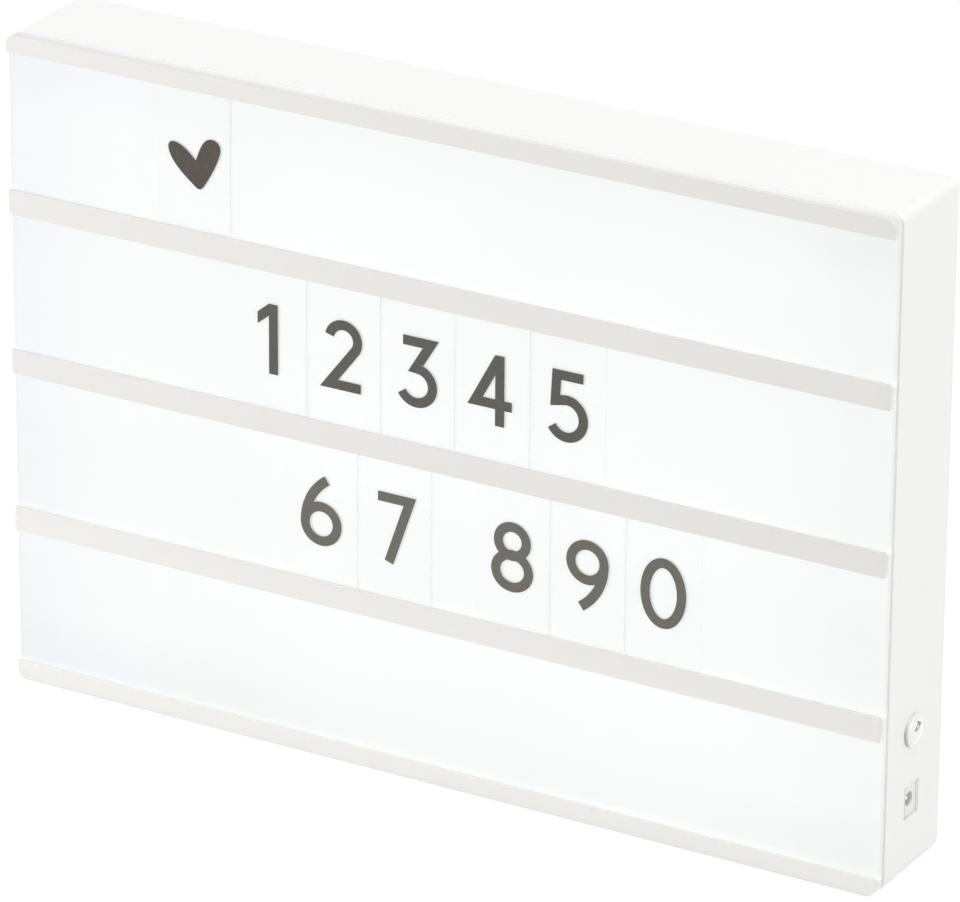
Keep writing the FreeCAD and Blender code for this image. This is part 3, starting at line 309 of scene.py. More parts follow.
def panel_paint():
    """Milky sheet lit from behind: dimmer at its rim and at its left end, and cooler there."""
    low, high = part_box("front_panel")
    paint = Paint("panel_milky", (0.44, 0.445, 0.45), 0.38, IOR=PLASTIC_IOR)
    x, _, z = paint.axes()
    left, right = paint.minus(x, low.x), paint.minus(high.x, x)
    below, above = paint.minus(z, low.z), paint.minus(high.z, z)
    near_top = paint.spread(above, 38 * MM, 15 * MM)
    near_bottom = paint.spread(below, 40 * MM, 12 * MM)
    upper_half = paint.spread(below, 150 * MM, 154 * MM)
    lower_half = paint.minus(1.0, upper_half)
    changes = [
        # along the width: dimmer towards the left end and beside the right one
        (-0.024, paint.spread(left, 171 * MM, 101 * MM)),
        (-0.038, paint.spread(left, 62 * MM, -2 * MM)),
        (-0.030, paint.spread(left, 2.2 * MM, 0.6 * MM)),
        (0.0085, paint.spread(right, 171 * MM, 111 * MM)),
        (-0.0245, paint.spread(right, 61 * MM, 6 * MM)),
        # over the height: dimmer at the top and the bottom, and in the upper right corner
        (-0.019, near_top),
        (0.008, paint.spread(below, 110 * MM, 40 * MM)),
        (-0.034, near_bottom),
        (-0.016, paint.times(near_top, paint.spread(right, 55 * MM, 12 * MM))),
        # faint clouds, and painted light beside the rails that evens out the shade they cast on the
        # sheet
        (0.02, paint.minus(paint.noise(75 * MM, 2.0), 0.5)),
        (0.19, from_rails(paint, z, ABOVE, 6 * MM, 3.0)),
        (0.029, from_rails(paint, z, ABOVE, 18 * MM, 2.0)),
        (0.0193, paint.times(from_rails(paint, z, BELOW, 26 * MM, 1.0), lower_half)),
    ]
    glow = PANEL_GLOW
    for amount, share in changes:
        glow = paint.plus(glow, paint.times(share, amount))
    aside, _, up = paint.facing()
    on_top = paint.spread(up, 0.3, 0.7)
    on_side = paint.spread(paint.absolute(aside), 0.3, 0.7)
    glow = paint.times(glow, paint.spread(on_top, 0.0, 1.0, 1.0, PANEL_TOP_GLOW))
    glow = paint.times(glow, paint.spread(on_side, 0.0, 1.0, 1.0, PANEL_SIDE_GLOW))
    in_corner = paint.times(paint.larger(near_top, near_bottom),
                            paint.spread(left, 85 * MM, 50 * MM))
    cool = paint.larger(in_corner, paint.spread(left, 40 * MM, 14 * MM))
    by_rail = paint.plus(paint.times(from_rails(paint, z, ABOVE, 45 * MM, 1.0), upper_half),
                         paint.times(from_rails(paint, z, BELOW, 45 * MM, 1.0), lower_half))
    in_middle = paint.times(paint.spread(left, 70 * MM, 120 * MM),
                            paint.spread(right, 50 * MM, 90 * MM))
    brightest = paint.times(paint.spread(by_rail, 0.25, 0.65), in_middle)
    warm = paint.mix(brightest, PANEL_FRESH, PANEL_BRIGHT)
    paint.glow(paint.mix(cool, warm, PANEL_COOL), glow)
    speckle = paint.noise(0.35 * MM, 2.0)
    paint.colour(paint.mix(speckle, (0.43, 0.437, 0.443), (0.45, 0.455, 0.46)))
    paint.rough(paint.plus(0.33, paint.times(paint.noise(18 * MM, 3.0), 0.1)))
    paint.normal(paint.bump(speckle, 0.004 * MM, under=paint.soft_edges(0.25 * MM)))
    return paint


def from_rails(paint, z, side, reach, power):
    """1 beside each rail, above or below it, falling to 0 at reach from it."""
    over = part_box("rail_bottom")[1].z
    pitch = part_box("rail_lower")[1].z - over
    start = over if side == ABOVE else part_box("rail_lower")[0].z
    away = paint.wrapped(paint.times(paint.minus(z, start - side * 1.5 * MM), side), pitch)
    near = paint.larger(paint.minus(1.0, paint.math("DIVIDE", away, reach)), 0.0)
    return paint.math("POWER", near, power)


def rail_paint():
    """Extruded plastic: fine lines along the rail, lighter on the lower rails by painted light."""
    # Painted shade: the rails' white is set greyer than the housing's, for the shade on their
    # front-facing side.
    paint = Paint("rail_white", (0.8, 0.79, 0.785), 0.40, IOR=PLASTIC_IOR)
    lines = paint.noise(0.5 * MM, 3.0, stretch=(400, 1, 1))
    long_tint = paint.times(paint.noise(120 * MM, 2.0), 0.12)
    # Painted light: the rails get lighter towards the bottom, standing in for light thrown up from
    # the floor.
    lower = paint.spread(paint.axes()[2], 130 * MM, 10 * MM, 0.0, 0.9)
    base = paint.mix(paint.plus(long_tint, lower), (0.773, 0.764, 0.748), (0.866, 0.857, 0.839))
    scuffs = paint.times(wear(paint, 16 * MM, 0.62, 0.78), 0.4)
    paint.colour(paint.mix(scuffs, base, (0.775, 0.762, 0.748)))
    paint.rough(paint.plus(0.36, paint.times(lines, 0.12)))
    paint.normal(paint.bump(lines, 0.006 * MM, under=paint.soft_edges(0.25 * MM)))
    return paint


# How much of the painted edge reflection shows on a card's left cut edge.
LEFT_EDGE_COVER = 0.02


def card_paint(name, edge_cover):
    """Clear sheet: nearly unseen before the panel, its right cut edge greyed by painted reflection.
    """
    paint = Paint(name, (0.93, 0.945, 0.96), 0.12, IOR=CLEAR_IOR)
    # Painted reflection: the cut edges are greyed and made less clear, most on the right edge and
    # least on the left.
    on_edge = paint.spread(paint.absolute(paint.facing()[1]), 0.7, 0.3)
    across_card = paint.axes(paint.add("TexCoord").outputs["Generated"])[0]
    on_left = paint.spread(across_card, 0.5, 0.1)
    hair = paint.noise(0.25 * MM, 2.0, stretch=(1, 1, 60))
    scratches = paint.times(paint.spread(hair, 0.7, 0.8), 0.02)
    film = paint.plus(paint.plus(0.003, scratches), paint.times(paint.noise(14 * MM, 3.0), 0.006))
    cover = paint.minus(edge_cover, paint.times(on_left, edge_cover - LEFT_EDGE_COVER))
    paint.set("Alpha", paint.larger(film, paint.times(on_edge, cover)))
    paint.colour(paint.mix(on_edge, (0.95, 0.96, 0.97), (0.55, 0.57, 0.58)))
    paint.rough(paint.plus(0.07, paint.times(paint.noise(9 * MM, 3.0), 0.08)))
    paint.normal(paint.bump(paint.noise(30 * MM, 1.0), 0.02 * MM))
    return paint


BORE_RADIUS = 5.12 * MM
BORE_PAINTED_GLOW = 0.35
SWITCH_FOOT_PAINTED_SHADE = 0.48


def switch_paint():
    """Switch plastic: painted shade round its bezel's foot, faint painted glow in its bore."""
    paint = polished("switch_white", (0.90, 0.897, 0.89))
    low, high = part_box("switch_body")
    x, _, z = paint.axes()
    bezel = (high.z - low.z) / 2
    # Painted shade: the bezel's outer wall darkens towards its foot, more on its lower half.
    outside = paint.spread(ring_distance(paint, "switch_body"), bezel - 0.6 * MM, bezel - 0.2 * MM)
    foot = paint.times(outside, paint.spread(x, high.x - 0.1 * MM, RIGHT_SIDE))
    below = paint.spread(z, high.z - 1 * MM, (low.z + high.z) / 2, 0.15, 1.0)
    shaded(paint, paint.times(foot, below), SWITCH_FOOT_PAINTED_SHADE)
    # Painted light: a faint glow in the gap between the bezel's bore and the rocker.
    within = paint.spread(ring_distance(paint, "switch_body"), BORE_RADIUS + 0.04 * MM, BORE_RADIUS)
    in_bore = paint.times(within, paint.spread(x, RIGHT_SIDE - 2.5 * MM, RIGHT_SIDE - 1 * MM))
    paint.glow(PAINTED_LEAK_GLOW, paint.times(in_bore, BORE_PAINTED_GLOW))
    return paint


MARK_RADIUS, MARK_UNDER_TOP = 1.6 * MM, 2.6 * MM
MARK_SHADE = 0.2


def rocker_paint():
    """The rocker's plastic, with a printed ring on its upper half."""
    paint = polished("rocker_white", (0.915, 0.912, 0.905))
    low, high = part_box("switch_rocker")
    x, y, z = paint.axes()
    away = paint.away(paint.minus(y, (low.y + high.y) / 2),
                      paint.minus(z, high.z - MARK_UNDER_TOP))
    ring = paint.spread(paint.absolute(paint.minus(away, MARK_RADIUS)), 0.75 * MM, 0.6 * MM)
    on_face = paint.spread(x, RIGHT_SIDE, RIGHT_SIDE + 0.3 * MM)
    shaded(paint, paint.times(ring, on_face), MARK_SHADE)
    return paint


WINDOW_PAINTED_SHADE, WINDOW_SHADE_SLOPE = 0.42, 1.74


def socket_paint():
    """The socket's plastic: painted shade where it meets the front side of the housing's window."""
    paint = moulded("socket_white", (0.86, 0.86, 0.852), 0.4, 0.2 * MM, 0.1 * MM)
    low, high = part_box("dc_socket")
    x, y, _ = paint.axes()
    # Painted shade: the socket's face darkens next to the window's front edge, which shades it.
    face = paint.spread(x, high.x - 0.6 * MM, high.x - 0.3 * MM)
    shade_end = low.y + WINDOW_SHADE_SLOPE * (RIGHT_SIDE - high.x)
    in_shade = paint.spread(y, shade_end + 1.9 * MM, shade_end - 0.9 * MM)
    shaded(paint, paint.times(face, in_shade), WINDOW_PAINTED_SHADE)
    return paint


# ---------------------------------------------------------------- inner materials

def reflector_paint():
    """Matt white sheet with a few dull patches."""
    paint = Paint("reflector_white", (0.93, 0.93, 0.92), 0.6, IOR=CLEAR_IOR)
    base = paint.mix(paint.noise(60 * MM, 3.0), (0.935, 0.935, 0.925), (0.915, 0.913, 0.90))
    patches = paint.times(wear(paint, 25 * MM, 0.6, 0.8), 0.3)
    paint.colour(paint.mix(patches, base, (0.88, 0.87, 0.85)))
    paint.rough(paint.plus(0.52, paint.times(paint.noise(12 * MM, 3.0), 0.14)))
    paint.normal(paint.bump(paint.noise(0.4 * MM, 2.0), 0.01 * MM))
    return paint


# Packages and resistors lie in rows along x, with the rows one over the other in z.
ALONG_ROW, ACROSS_ROWS = 0, 2
PACKAGE_SIZE, PACKAGE_COLUMNS, PACKAGE_ROWS = 5.0 * MM, 9, 4
RESISTOR_LENGTH, RESISTOR_COLUMNS = 3.2 * MM, 3
WELL_RADIUS = 1.8 * MM
WELL_GLOW = 1.5


def from_nearest(paint, node, axis, count, part):
    """How far a place is, along an axis, from the nearest of the equal things in a node."""
    low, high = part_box(node)
    pitch = (high[axis] - low[axis] - part) / (count - 1)
    start = low[axis] + part / 2 - pitch / 2
    offset = paint.minus(paint.axes()[axis], start)
    return paint.minus(paint.wrapped(offset, pitch), pitch / 2)


def package_paint():
    """White case with a round well of yellow phosphor, which glows when the box is on."""
    paint = Paint("light_package", (0.92, 0.92, 0.9), 0.35, IOR=CLEAR_IOR)
    node = "light_packages"
    away = paint.away(from_nearest(paint, node, ALONG_ROW, PACKAGE_COLUMNS, PACKAGE_SIZE),
                      from_nearest(paint, node, ACROSS_ROWS, PACKAGE_ROWS, PACKAGE_SIZE))
    well = paint.spread(away, WELL_RADIUS + 0.15 * MM, WELL_RADIUS)
    grain = paint.noise(0.12 * MM, 2.0)
    phosphor = paint.mix(grain, (0.92, 0.80, 0.22), (0.95, 0.86, 0.36))
    paint.colour(paint.mix(well, (0.92, 0.92, 0.9), phosphor))
    paint.rough(paint.spread(well, 0.0, 1.0, 0.38, 0.12))
    paint.glow((0.93, 0.96, 1.0), paint.times(well, WELL_GLOW))
    rim = paint.spread(away, WELL_RADIUS - 0.1 * MM, WELL_RADIUS + 0.3 * MM)
    paint.normal(paint.bump(rim, 0.12 * MM, under=paint.bump(grain, 0.004 * MM)))
    return paint


def resistor_paint():
    """Black chip between two tinned ends."""
    paint = Paint("resistor_black", (0.03, 0.03, 0.032), 0.45)
    aside = from_nearest(paint, "strip_resistors", ALONG_ROW, RESISTOR_COLUMNS, RESISTOR_LENGTH)
    tinned = paint.spread(paint.absolute(aside), 1.1 * MM, 1.16 * MM)
    grain = paint.noise(0.2 * MM, 2.0)
    body = paint.mix(grain, (0.022, 0.022, 0.024), (0.045, 0.044, 0.045))
    paint.colour(paint.mix(tinned, body, (0.72, 0.71, 0.68)))
    paint.set("Metallic", tinned)
    paint.rough(paint.plus(0.3, paint.times(grain, 0.2)))
    paint.normal(paint.bump(grain, 0.006 * MM, under=paint.soft_edges(0.06 * MM)))
    return paint


def board_paint(node):
    """White solder mask over two copper tracks, with bare tinned pads at the right end."""
    low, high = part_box(node)
    paint = Paint("strip_board_" + node[-1], (0.9, 0.91, 0.88), 0.35, IOR=CLEAR_IOR)
    x, _, z = paint.axes()
    off_middle = paint.absolute(paint.minus(z, (low.z + high.z) / 2))
    track = paint.times(paint.spread(off_middle, 3.0 * MM, 3.1 * MM),
                        paint.spread(off_middle, 4.1 * MM, 4.0 * MM))
    pad = paint.times(track, paint.spread(paint.minus(high.x, x), 12.5 * MM, 12.0 * MM))
    mask = paint.mix(paint.noise(11 * MM, 3.0), (0.905, 0.915, 0.885), (0.88, 0.89, 0.855))
    mask = paint.mix(paint.times(track, 0.35), mask, (0.86, 0.82, 0.70))
    paint.colour(paint.mix(pad, mask, (0.74, 0.73, 0.70)))
    paint.set("Metallic", pad)
    paint.rough(paint.plus(0.24, paint.times(paint.noise(2.0 * MM, 3.0), 0.16)))
    weave = paint.noise(0.5 * MM, 2.0, stretch=(1, 1, 3))
    paint.normal(paint.bump(paint.plus(track, paint.times(weave, 0.3)), 0.03 * MM,
                            under=paint.soft_edges(0.1 * MM)))
    return paint


def wire_paint():
    """Red sleeve on the wire nearer the middle and black on the other."""
    low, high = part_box("strip_wires")
    paint = Paint("wire_sleeve", (0.5, 0.04, 0.035), 0.38, IOR=CLEAR_IOR)
    off_middle = paint.minus(paint.axes()[0], (low.x + high.x) / 2)
    grain = paint.noise(1.5 * MM, 3.0, stretch=(1, 1, 8))
    red = paint.mix(grain, (0.50, 0.035, 0.03), (0.40, 0.028, 0.025))
    black = paint.mix(grain, (0.018, 0.018, 0.02), (0.035, 0.034, 0.036))
    paint.colour(paint.mix(paint.spread(off_middle, -0.1 * MM, 0.1 * MM), red, black))
    paint.rough(paint.plus(0.3, paint.times(grain, 0.16)))
    paint.normal(paint.bump(grain, 0.01 * MM))
    return paint


CELL_NUB, CELL_BAND = 1.5 * MM, 13 * MM
SIGN_HALF_LENGTH, SIGN_HALF_WIDTH = 1.9 * MM, 0.4 * MM


def plus_is_high(node):
    """Whether a cell's plus end, which is its slimmer one, is the one at its higher x."""
    low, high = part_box(node)
    points = [vertex.co for vertex in NODES[node].data.vertices]

    def height(end):
        heights = [p.z for p in points if abs(p.x - end) < 0.05 * MM]
        return max(heights) - min(heights)

    return height(high.x) < height(low.x)


def cell_paint(node):
    """Plain dark sleeve, copper-coloured at the plus end, steel ends, a plus and a minus sign."""
    low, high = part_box(node)
    axis = (low + high) / 2
    length = high.x - low.x
    paint = Paint("cell_wrap_" + node[-1], (0.05, 0.055, 0.06), 0.3, IOR=CLEAR_IOR)
    x, y, z = paint.axes()
    outward, turned = paint.minus(y, axis.y), paint.minus(z, axis.z)
    from_plus = paint.minus(high.x, x) if plus_is_high(node) else paint.minus(x, low.x)

    def between(start, end):
        """1 from start to end, counted from the plus end, and 0 past them."""
        return paint.times(paint.spread(from_plus, start, start + 0.1 * MM),
                           paint.spread(from_plus, end, end - 0.1 * MM))

    def bar(value, half):
        return paint.spread(paint.absolute(value), half + 0.05 * MM, half - 0.05 * MM)

    shoulder = paint.times(paint.spread(paint.away(outward, turned), 6.2 * MM, 6.3 * MM),
                           paint.spread(from_plus, CELL_NUB - 0.2 * MM, CELL_NUB - 0.1 * MM))
    sleeve = paint.larger(between(CELL_NUB + 0.35 * MM, length - 0.35 * MM), shoulder)
    band_end = CELL_NUB + CELL_BAND
    band = paint.spread(from_plus, band_end + 0.1 * MM, band_end - 0.1 * MM)
    line = between(band_end + 0.4 * MM, band_end + 1.3 * MM)
    grain = paint.noise(1.1 * MM, 3.0, stretch=(1, 6, 6))
    dark = paint.mix(grain, (0.030, 0.033, 0.038), (0.045, 0.048, 0.055))
    copper = paint.mix(grain, (0.56, 0.31, 0.13), (0.64, 0.37, 0.17))
    wrap = paint.mix(line, paint.mix(band, dark, copper), (0.75, 0.75, 0.74))
    plus_at = paint.minus(from_plus, CELL_NUB + 5.5 * MM)
    minus_at = paint.minus(from_plus, length - 6.0 * MM)
    plus = paint.larger(
        paint.times(bar(plus_at, SIGN_HALF_LENGTH), bar(turned, SIGN_HALF_WIDTH)),
        paint.times(bar(plus_at, SIGN_HALF_WIDTH), bar(turned, SIGN_HALF_LENGTH)))
    minus = paint.times(bar(minus_at, SIGN_HALF_WIDTH), bar(turned, SIGN_HALF_LENGTH))
    signs = paint.times(paint.larger(plus, minus), paint.spread(outward, 0.0, 0.5 * MM))
    wrap = paint.mix(signs, wrap, (0.80, 0.80, 0.78))
    steel = paint.mix(paint.noise(0.8 * MM, 3.0), (0.70, 0.69, 0.67), (0.60, 0.59, 0.57))
    paint.colour(paint.mix(sleeve, steel, wrap))
    foil = paint.times(paint.times(band, 0.75), sleeve)
    paint.set("Metallic", paint.math("MAXIMUM", paint.minus(1.0, sleeve), foil, clamp=True))
    paint.rough(paint.plus(0.24, paint.times(paint.noise(5 * MM, 4.0), 0.14)))
    paint.normal(paint.bump(paint.plus(sleeve, paint.times(grain, 0.12)), 0.05 * MM,
                            under=paint.soft_edges(0.15 * MM)))
    return paint


# ---------------------------------------------------------------- every node's material

SHARED_PAINTS = {
    "housing_white": housing_paint(),
    "panel_milky": panel_paint(),
    "rail_white": rail_paint(),
    "card_clear": card_paint("card_clear", 0.55),
    "last_card": card_paint("card_clear_last", 0.16),
    "reflector_white": reflector_paint(),
    "light_package": package_paint(),
    "resistor_black": resistor_paint(),
    "wire_sleeve": wire_paint(),
    "contact_steel": metal("contact_steel", (0.76, 0.75, 0.72), 0.3, 0.12 * MM, (12, 1, 1)),
    "switch_white": switch_paint(),
    "rocker_white": rocker_paint(),
    "terminal_metal": metal("terminal_metal", (0.80, 0.75, 0.60), 0.28, 0.1 * MM, (8, 1, 1)),
    "socket_white": socket_paint(),
}
OWN_PAINTS = {"strip_board": board_paint, "cell_wrap": cell_paint}
# These cards get a fainter painted edge reflection.
LAST_CARDS = ("second_row_card_5", "third_row_card_5")


def paint_of(node, slot):
    """A node's paint: strips and cells have one each, and the rows' last cards a fainter edge."""
    if slot in OWN_PAINTS:
        return OWN_PAINTS[slot](node)
    return SHARED_PAINTS["last_card" if node in LAST_CARDS else slot]


def dress(obj, paint):
    obj.data.materials.clear()
    obj.data.materials.append(paint.material)


for row in RECORD["subparts"]:
    dress(NODES[row["node"]], paint_of(row["node"], row["material_slot"]))


# ---------------------------------------------------------------- outlines and solids

SAME_PLACE = 1e-7
MITRE_LIMIT = 0.35


def arc(centre, radius, start, end, steps=28):
    """Points on an arc, with the angles in degrees counted from +x towards +z."""
    points = []
    for step in range(steps + 1):
        angle = math.radians(start + (end - start) * step / steps)
        points.append((centre[0] + radius[0] * math.cos(angle),
                       centre[1] + radius[1] * math.sin(angle)))
    return points


def bezier(spans, steps=14):
    """Points along cubic curves, each given by its two ends and the two points between."""
    points = []
    for a, b, c, d in spans:
        for step in range(steps):
            t = step / steps
            s = 1 - t
            shares = (s ** 3, 3 * s * s * t, 3 * s * t * t, t ** 3)
            points.append(tuple(sum(share * p[i] for share, p in zip(shares, (a, b, c, d)))
                                for i in (0, 1)))
    return points


def stroke(points, width):
    """The outline of a line of that width with square ends and mitred corners."""
    line = [Vector(p) for p in points]
    line = [p for i, p in enumerate(line) if i == 0 or (p - line[i - 1]).length > SAME_PLACE]
    left, right = [], []
    for i, point in enumerate(line):
        before = (point - line[i - 1]).normalized() if i else None
        after = (line[i + 1] - point).normalized() if i + 1 < len(line) else None
        first = before or after
        second = after or before
        across = Vector((-first.y - second.y, first.x + second.x)).normalized()
        mitre = max(across.dot(Vector((-first.y, first.x))), MITRE_LIMIT)
        left.append(point + across * (width / 2 / mitre))
        right.append(point - across * (width / 2 / mitre))
    return left + right[::-1]


def joined(outlines):
    """The outlines' union as points and triangles."""
    points, faces = [], []
    for outline in outlines:
        outline = [Vector(p) for p in outline]
        turned = sum(a.cross(b) for a, b in zip(outline, outline[1:] + outline[:1]))
        faces.append(list(range(len(points), len(points) + len(outline))))
        points += outline if turned > 0 else outline[::-1]
    found = geometry.delaunay_2d_cdt(points, [], faces, 0, SAME_PLACE)
    return found[0], [face for face, inside in zip(found[2], found[5]) if inside]


def prism_faces(points, triangles):
    """The faces of a solid between flat points and their copies, which follow them."""
    count = len(points)
    faces, edges = [], {}
    for a, b, c in triangles:
        turned = (points[b] - points[a]).cross(points[c] - points[a])
        loop = (a, b, c) if turned > 0 else (a, c, b)
        faces += [loop, tuple(i + count for i in loop[::-1])]
        edges.update(dict.fromkeys(zip(loop, loop[1:] + loop[:1])))
    return faces + [(a, a + count, b + count, b) for a, b in edges if (b, a) not in edges]


def make_mesh(name, points, faces):
    mesh = bpy.data.meshes.new(name)
    mesh.from_pydata(points, [], faces)
    mesh.validate()
    mesh.update()
    return mesh


def put(name, data):
    """A new object in the scene."""
    obj = bpy.data.objects.new(name, data)
    bpy.context.scene.collection.objects.link(obj)
    return obj


def add_piece(name, mesh, paint, body):
    obj = put(name, mesh)
    dress(obj, paint)
    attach(obj, body)
    return obj


# ---------------------------------------------------------------- prints on the cards

# The glyphs' sizes are in millimetres.
GLYPH_HEIGHT, GLYPH_STROKE = 31.8, 4.4
HEART_SHIFT = Vector((0.3 * MM, 0.0, -2.4 * MM))
PRINT_THICKNESS, PRINT_GAP = 0.04 * MM, 0.004 * MM
DIGITS = {"second_row_card_1": "1", "second_row_card_2": "2", "second_row_card_3": "3",
          "second_row_card_4": "4", "second_row_card_5": "5", "third_row_card_1": "6",
          "third_row_card_2": "7", "third_row_card_3": "8", "third_row_card_4": "9",
          "third_row_card_5": "0"}


def digit_outlines(digit):
    """Outlines of a plain digit about its own middle."""
    end = GLYPH_HEIGHT / 2
    top = end - GLYPH_STROKE / 2
    if digit == "1":
        return [pen([(1.6, -end), (1.6, end)]),
                [(-0.6, end), (-6.2, end - 4.6), (-6.2, end - 10.0), (-0.5, end - 5.4)]]
    if digit == "2":
        bowl = arc((0, top - 6.9), (6.9, 6.9), 168, -32)
        return [pen(bowl + [(-7.1, -top), (8.5, -top)])]
    if digit == "3":
        bowl = arc((-0.6, 7.7 - top), (7.9, 7.7), 96, -152)
        return [pen([(-7.0, top), (6.4, top), (-0.9, 15.4 - top)] + bowl[2:])]
    if digit == "4":
        return [pen([(3.6, -end), (3.6, end)]),
                pen([(9.4, -6.2), (-8.2, -6.2), (3.2, top + 1.1)])]
    if digit == "5":
        bowl = arc((-0.6, 8.3 - top), (8.0, 8.3), 124, -150)
        return [pen([(7.2, top), (-5.4, top), (-6.0, 1.9)] + bowl[3:])]
    if digit == "6":
        ring = arc((0, 7.9 - top), (7.9, 7.9), 0, 360, 64)
        tail = arc((16.8, 7.9 - top), (24.7, 24.7), 180, 124, 24)
        return pen_ring(ring) + [pen(tail)]
    if digit == "7":
        return [pen([(-8.0, top), (7.6, top), (-2.6, -end)])]
    if digit == "8":
        upper = arc((0, top - 6.6), (6.7, 6.6), 0, 360, 56)
        lower = arc((0, 7.4 - top), (7.9, 7.4), 0, 360, 56)
        return pen_ring(upper) + pen_ring(lower)
    if digit == "9":
        return [[(-x, -z) for x, z in outline] for outline in digit_outlines("6")]
    return pen_ring(arc((0, 0), (8.6, top), 0, 360, 72))


def pen(points):
    return stroke(points, GLYPH_STROKE)


def pen_ring(points):
    """A closed line's outline in two halves that overlap at both ends, so its middle stays open."""
    half = len(points) // 2
    return [pen(points[:half + 2]), pen(points[half:] + points[1:2])]


def heart_outline():
    """A plain heart: two slim lobes, a deep notch and curved sides down to a rounded point."""
    right = bezier([((0.5, 2.0), (1.9, 4.8), (3.4, 12.8), (8.6, 12.8)),
                    ((8.6, 12.8), (11.4, 12.8), (13.5, 10.6), (12.6, 7.2)),
                    ((12.6, 7.2), (11.5, 2.6), (7.6, -4.4), (4.4, -9.1)),
                    ((4.4, -9.1), (3.4, -10.6), (2.0, -11.2), (0.6, -10.1))])
    left = bezier([((0.6, -10.1), (-4.2, -6.4), (-11.6, -1.2), (-12.9, 5.0)),
                   ((-12.9, 5.0), (-13.4, 7.6), (-11.9, 8.9), (-9.7, 8.6)),
                   ((-9.7, 8.6), (-5.4, 8.0), (-1.8, 4.4), (0.5, 2.0))])
    return right + left


def on_card(node):
    """The middle of a card's front face, a hair in front of it."""
    low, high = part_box(node)
    return Vector(((low.x + high.x) / 2, low.y - PRINT_GAP, (low.z + high.z) / 2))


def printed(name, outlines, place, paint, card):
    """A thin solid with those outlines that faces -y, with its back at place, and rides a card."""
    points, triangles = joined([[Vector(p) * MM for p in outline] for outline in outlines])
    corners = [(place.x + p.x, place.y - depth, place.z + p.y)
               for depth in (PRINT_THICKNESS, 0.0) for p in points]
    mesh = make_mesh(name, corners, prism_faces(points, triangles))
    add_piece(name, mesh, paint, card)


HEART_INK = ink_paint("print_heart_dark", (0.060, 0.0485, 0.036))
ROW_INKS = {"second": ink_paint("print_dark", (0.0775, 0.0747, 0.0648)),
            "third": ink_paint("print_grey", (0.120, 0.1166, 0.096))}

for card, digit in DIGITS.items():
    ink = ROW_INKS[card.split("_")[0]]
    printed(f"print_{digit}", digit_outlines(digit), on_card(card), ink, card)
printed("print_heart", [heart_outline()], on_card("first_row_card") + HEART_SHIFT, HEART_INK,
        "first_row_card")


# ---------------------------------------------------------------- housing screws

HEAD_RADIUS, HEAD_HEIGHT, RIM_HEIGHT = 2.7 * MM, 1.9 * MM, 0.7 * MM
SHANK_RADIUS, SHANK_LENGTH, TIP_LENGTH = 1.1 * MM, 9.0 * MM, 1.6 * MM
THREAD_DEPTH, THREAD_PITCH = 0.28 * MM, 1.1 * MM
CROSS_WIDTH, CROSS_REACH, CROSS_DEPTH, CROSS_TAPER = 0.9 * MM, 1.6 * MM, 1.2 * MM, 0.55
ROUND_STEPS, SHANK_STEPS, DOME_STEPS = 32, 72, 10
TOWER_IN, TOWER_UP = 12 * MM, 6.2 * MM
SEAT_FROM_AXIS = 2.3 * MM
SCREW = metal("screw_steel", (0.66, 0.65, 0.63), 0.34, 0.1 * MM, (1, 1, 1))


def lathe_rings(profile, wobble=None):
    """Rings of points round +y for a profile of (radius, y)."""
    rings = []
    for radius, along in profile:
        ring = []
        for step in range(ROUND_STEPS):
            turn = step / ROUND_STEPS
            reach = radius + (wobble(along, turn) if wobble else 0.0)
            angle = TURN * turn
            ring.append(Vector((reach * math.cos(angle), along, reach * math.sin(angle))))
        rings.append(ring)
    return rings


def skin(rings, first_tip, last_tip):
    """Points and faces of a closed mesh over rings of points, with a tip past each end."""
    steps = len(rings[0])
    points = [p for ring in rings for p in ring] + [first_tip, last_tip]
    first, last = len(points) - 2, len(points) - 1
    last_ring = (len(rings) - 1) * steps
    faces = []
    for start in range(0, last_ring, steps):
        for step in range(steps):
            after = (step + 1) % steps
            faces.append((start + step, start + after, start + steps + after,
                          start + steps + step))
    for step in range(steps):
        after = (step + 1) % steps
        faces.append((first, after, step))
        faces.append((last, last_ring + step, last_ring + after))
    return points, faces


def thread(along, turn):
    """How far the thread stands out at a place on the shank. It fades at both ends."""
    share = (along / THREAD_PITCH + turn) % 1.0
    ridge = max(0.0, 1 - abs(share - 0.5) * 3.2)
    from_tip, from_head = (along + SHANK_LENGTH) / (2 * THREAD_PITCH), -along / THREAD_PITCH
    return THREAD_DEPTH * ridge * min(1.0, max(0.0, from_tip), max(0.0, from_head))


def add_screw(name, place):
    """A pan-head screw with its seat at place, which points to -y."""
    tip = [(SHANK_RADIUS * share, -SHANK_LENGTH + rise * MM)
           for share, rise in ((0.15, 0.0), (0.55, 0.7), (0.9, 1.6))]
    straight = SHANK_LENGTH - TIP_LENGTH
    shank = [(SHANK_RADIUS, -straight + straight * i / SHANK_STEPS)
             for i in range(1, SHANK_STEPS + 1)]
    head = [(HEAD_RADIUS - 0.15 * MM, 0.0), (HEAD_RADIUS, 0.12 * MM), (HEAD_RADIUS, RIM_HEIGHT)]
    for i in range(1, DOME_STEPS):
        angle = math.radians(90 * i / DOME_STEPS)
        head.append((HEAD_RADIUS * (0.15 + 0.85 * math.cos(angle)),
                     RIM_HEIGHT + (HEAD_HEIGHT - RIM_HEIGHT) * math.sin(angle)))
    rings = lathe_rings(tip + shank, thread) + lathe_rings(head)
    points, faces = skin(rings, Vector((0, -SHANK_LENGTH - 0.3 * MM, 0)),
                         Vector((0, HEAD_HEIGHT, 0)))
    mesh = make_mesh(name, [p + place for p in points], faces)
    for polygon in mesh.polygons:
        polygon.use_smooth = True
    cut_cross(add_piece(name, mesh, SCREW, "box"), place)


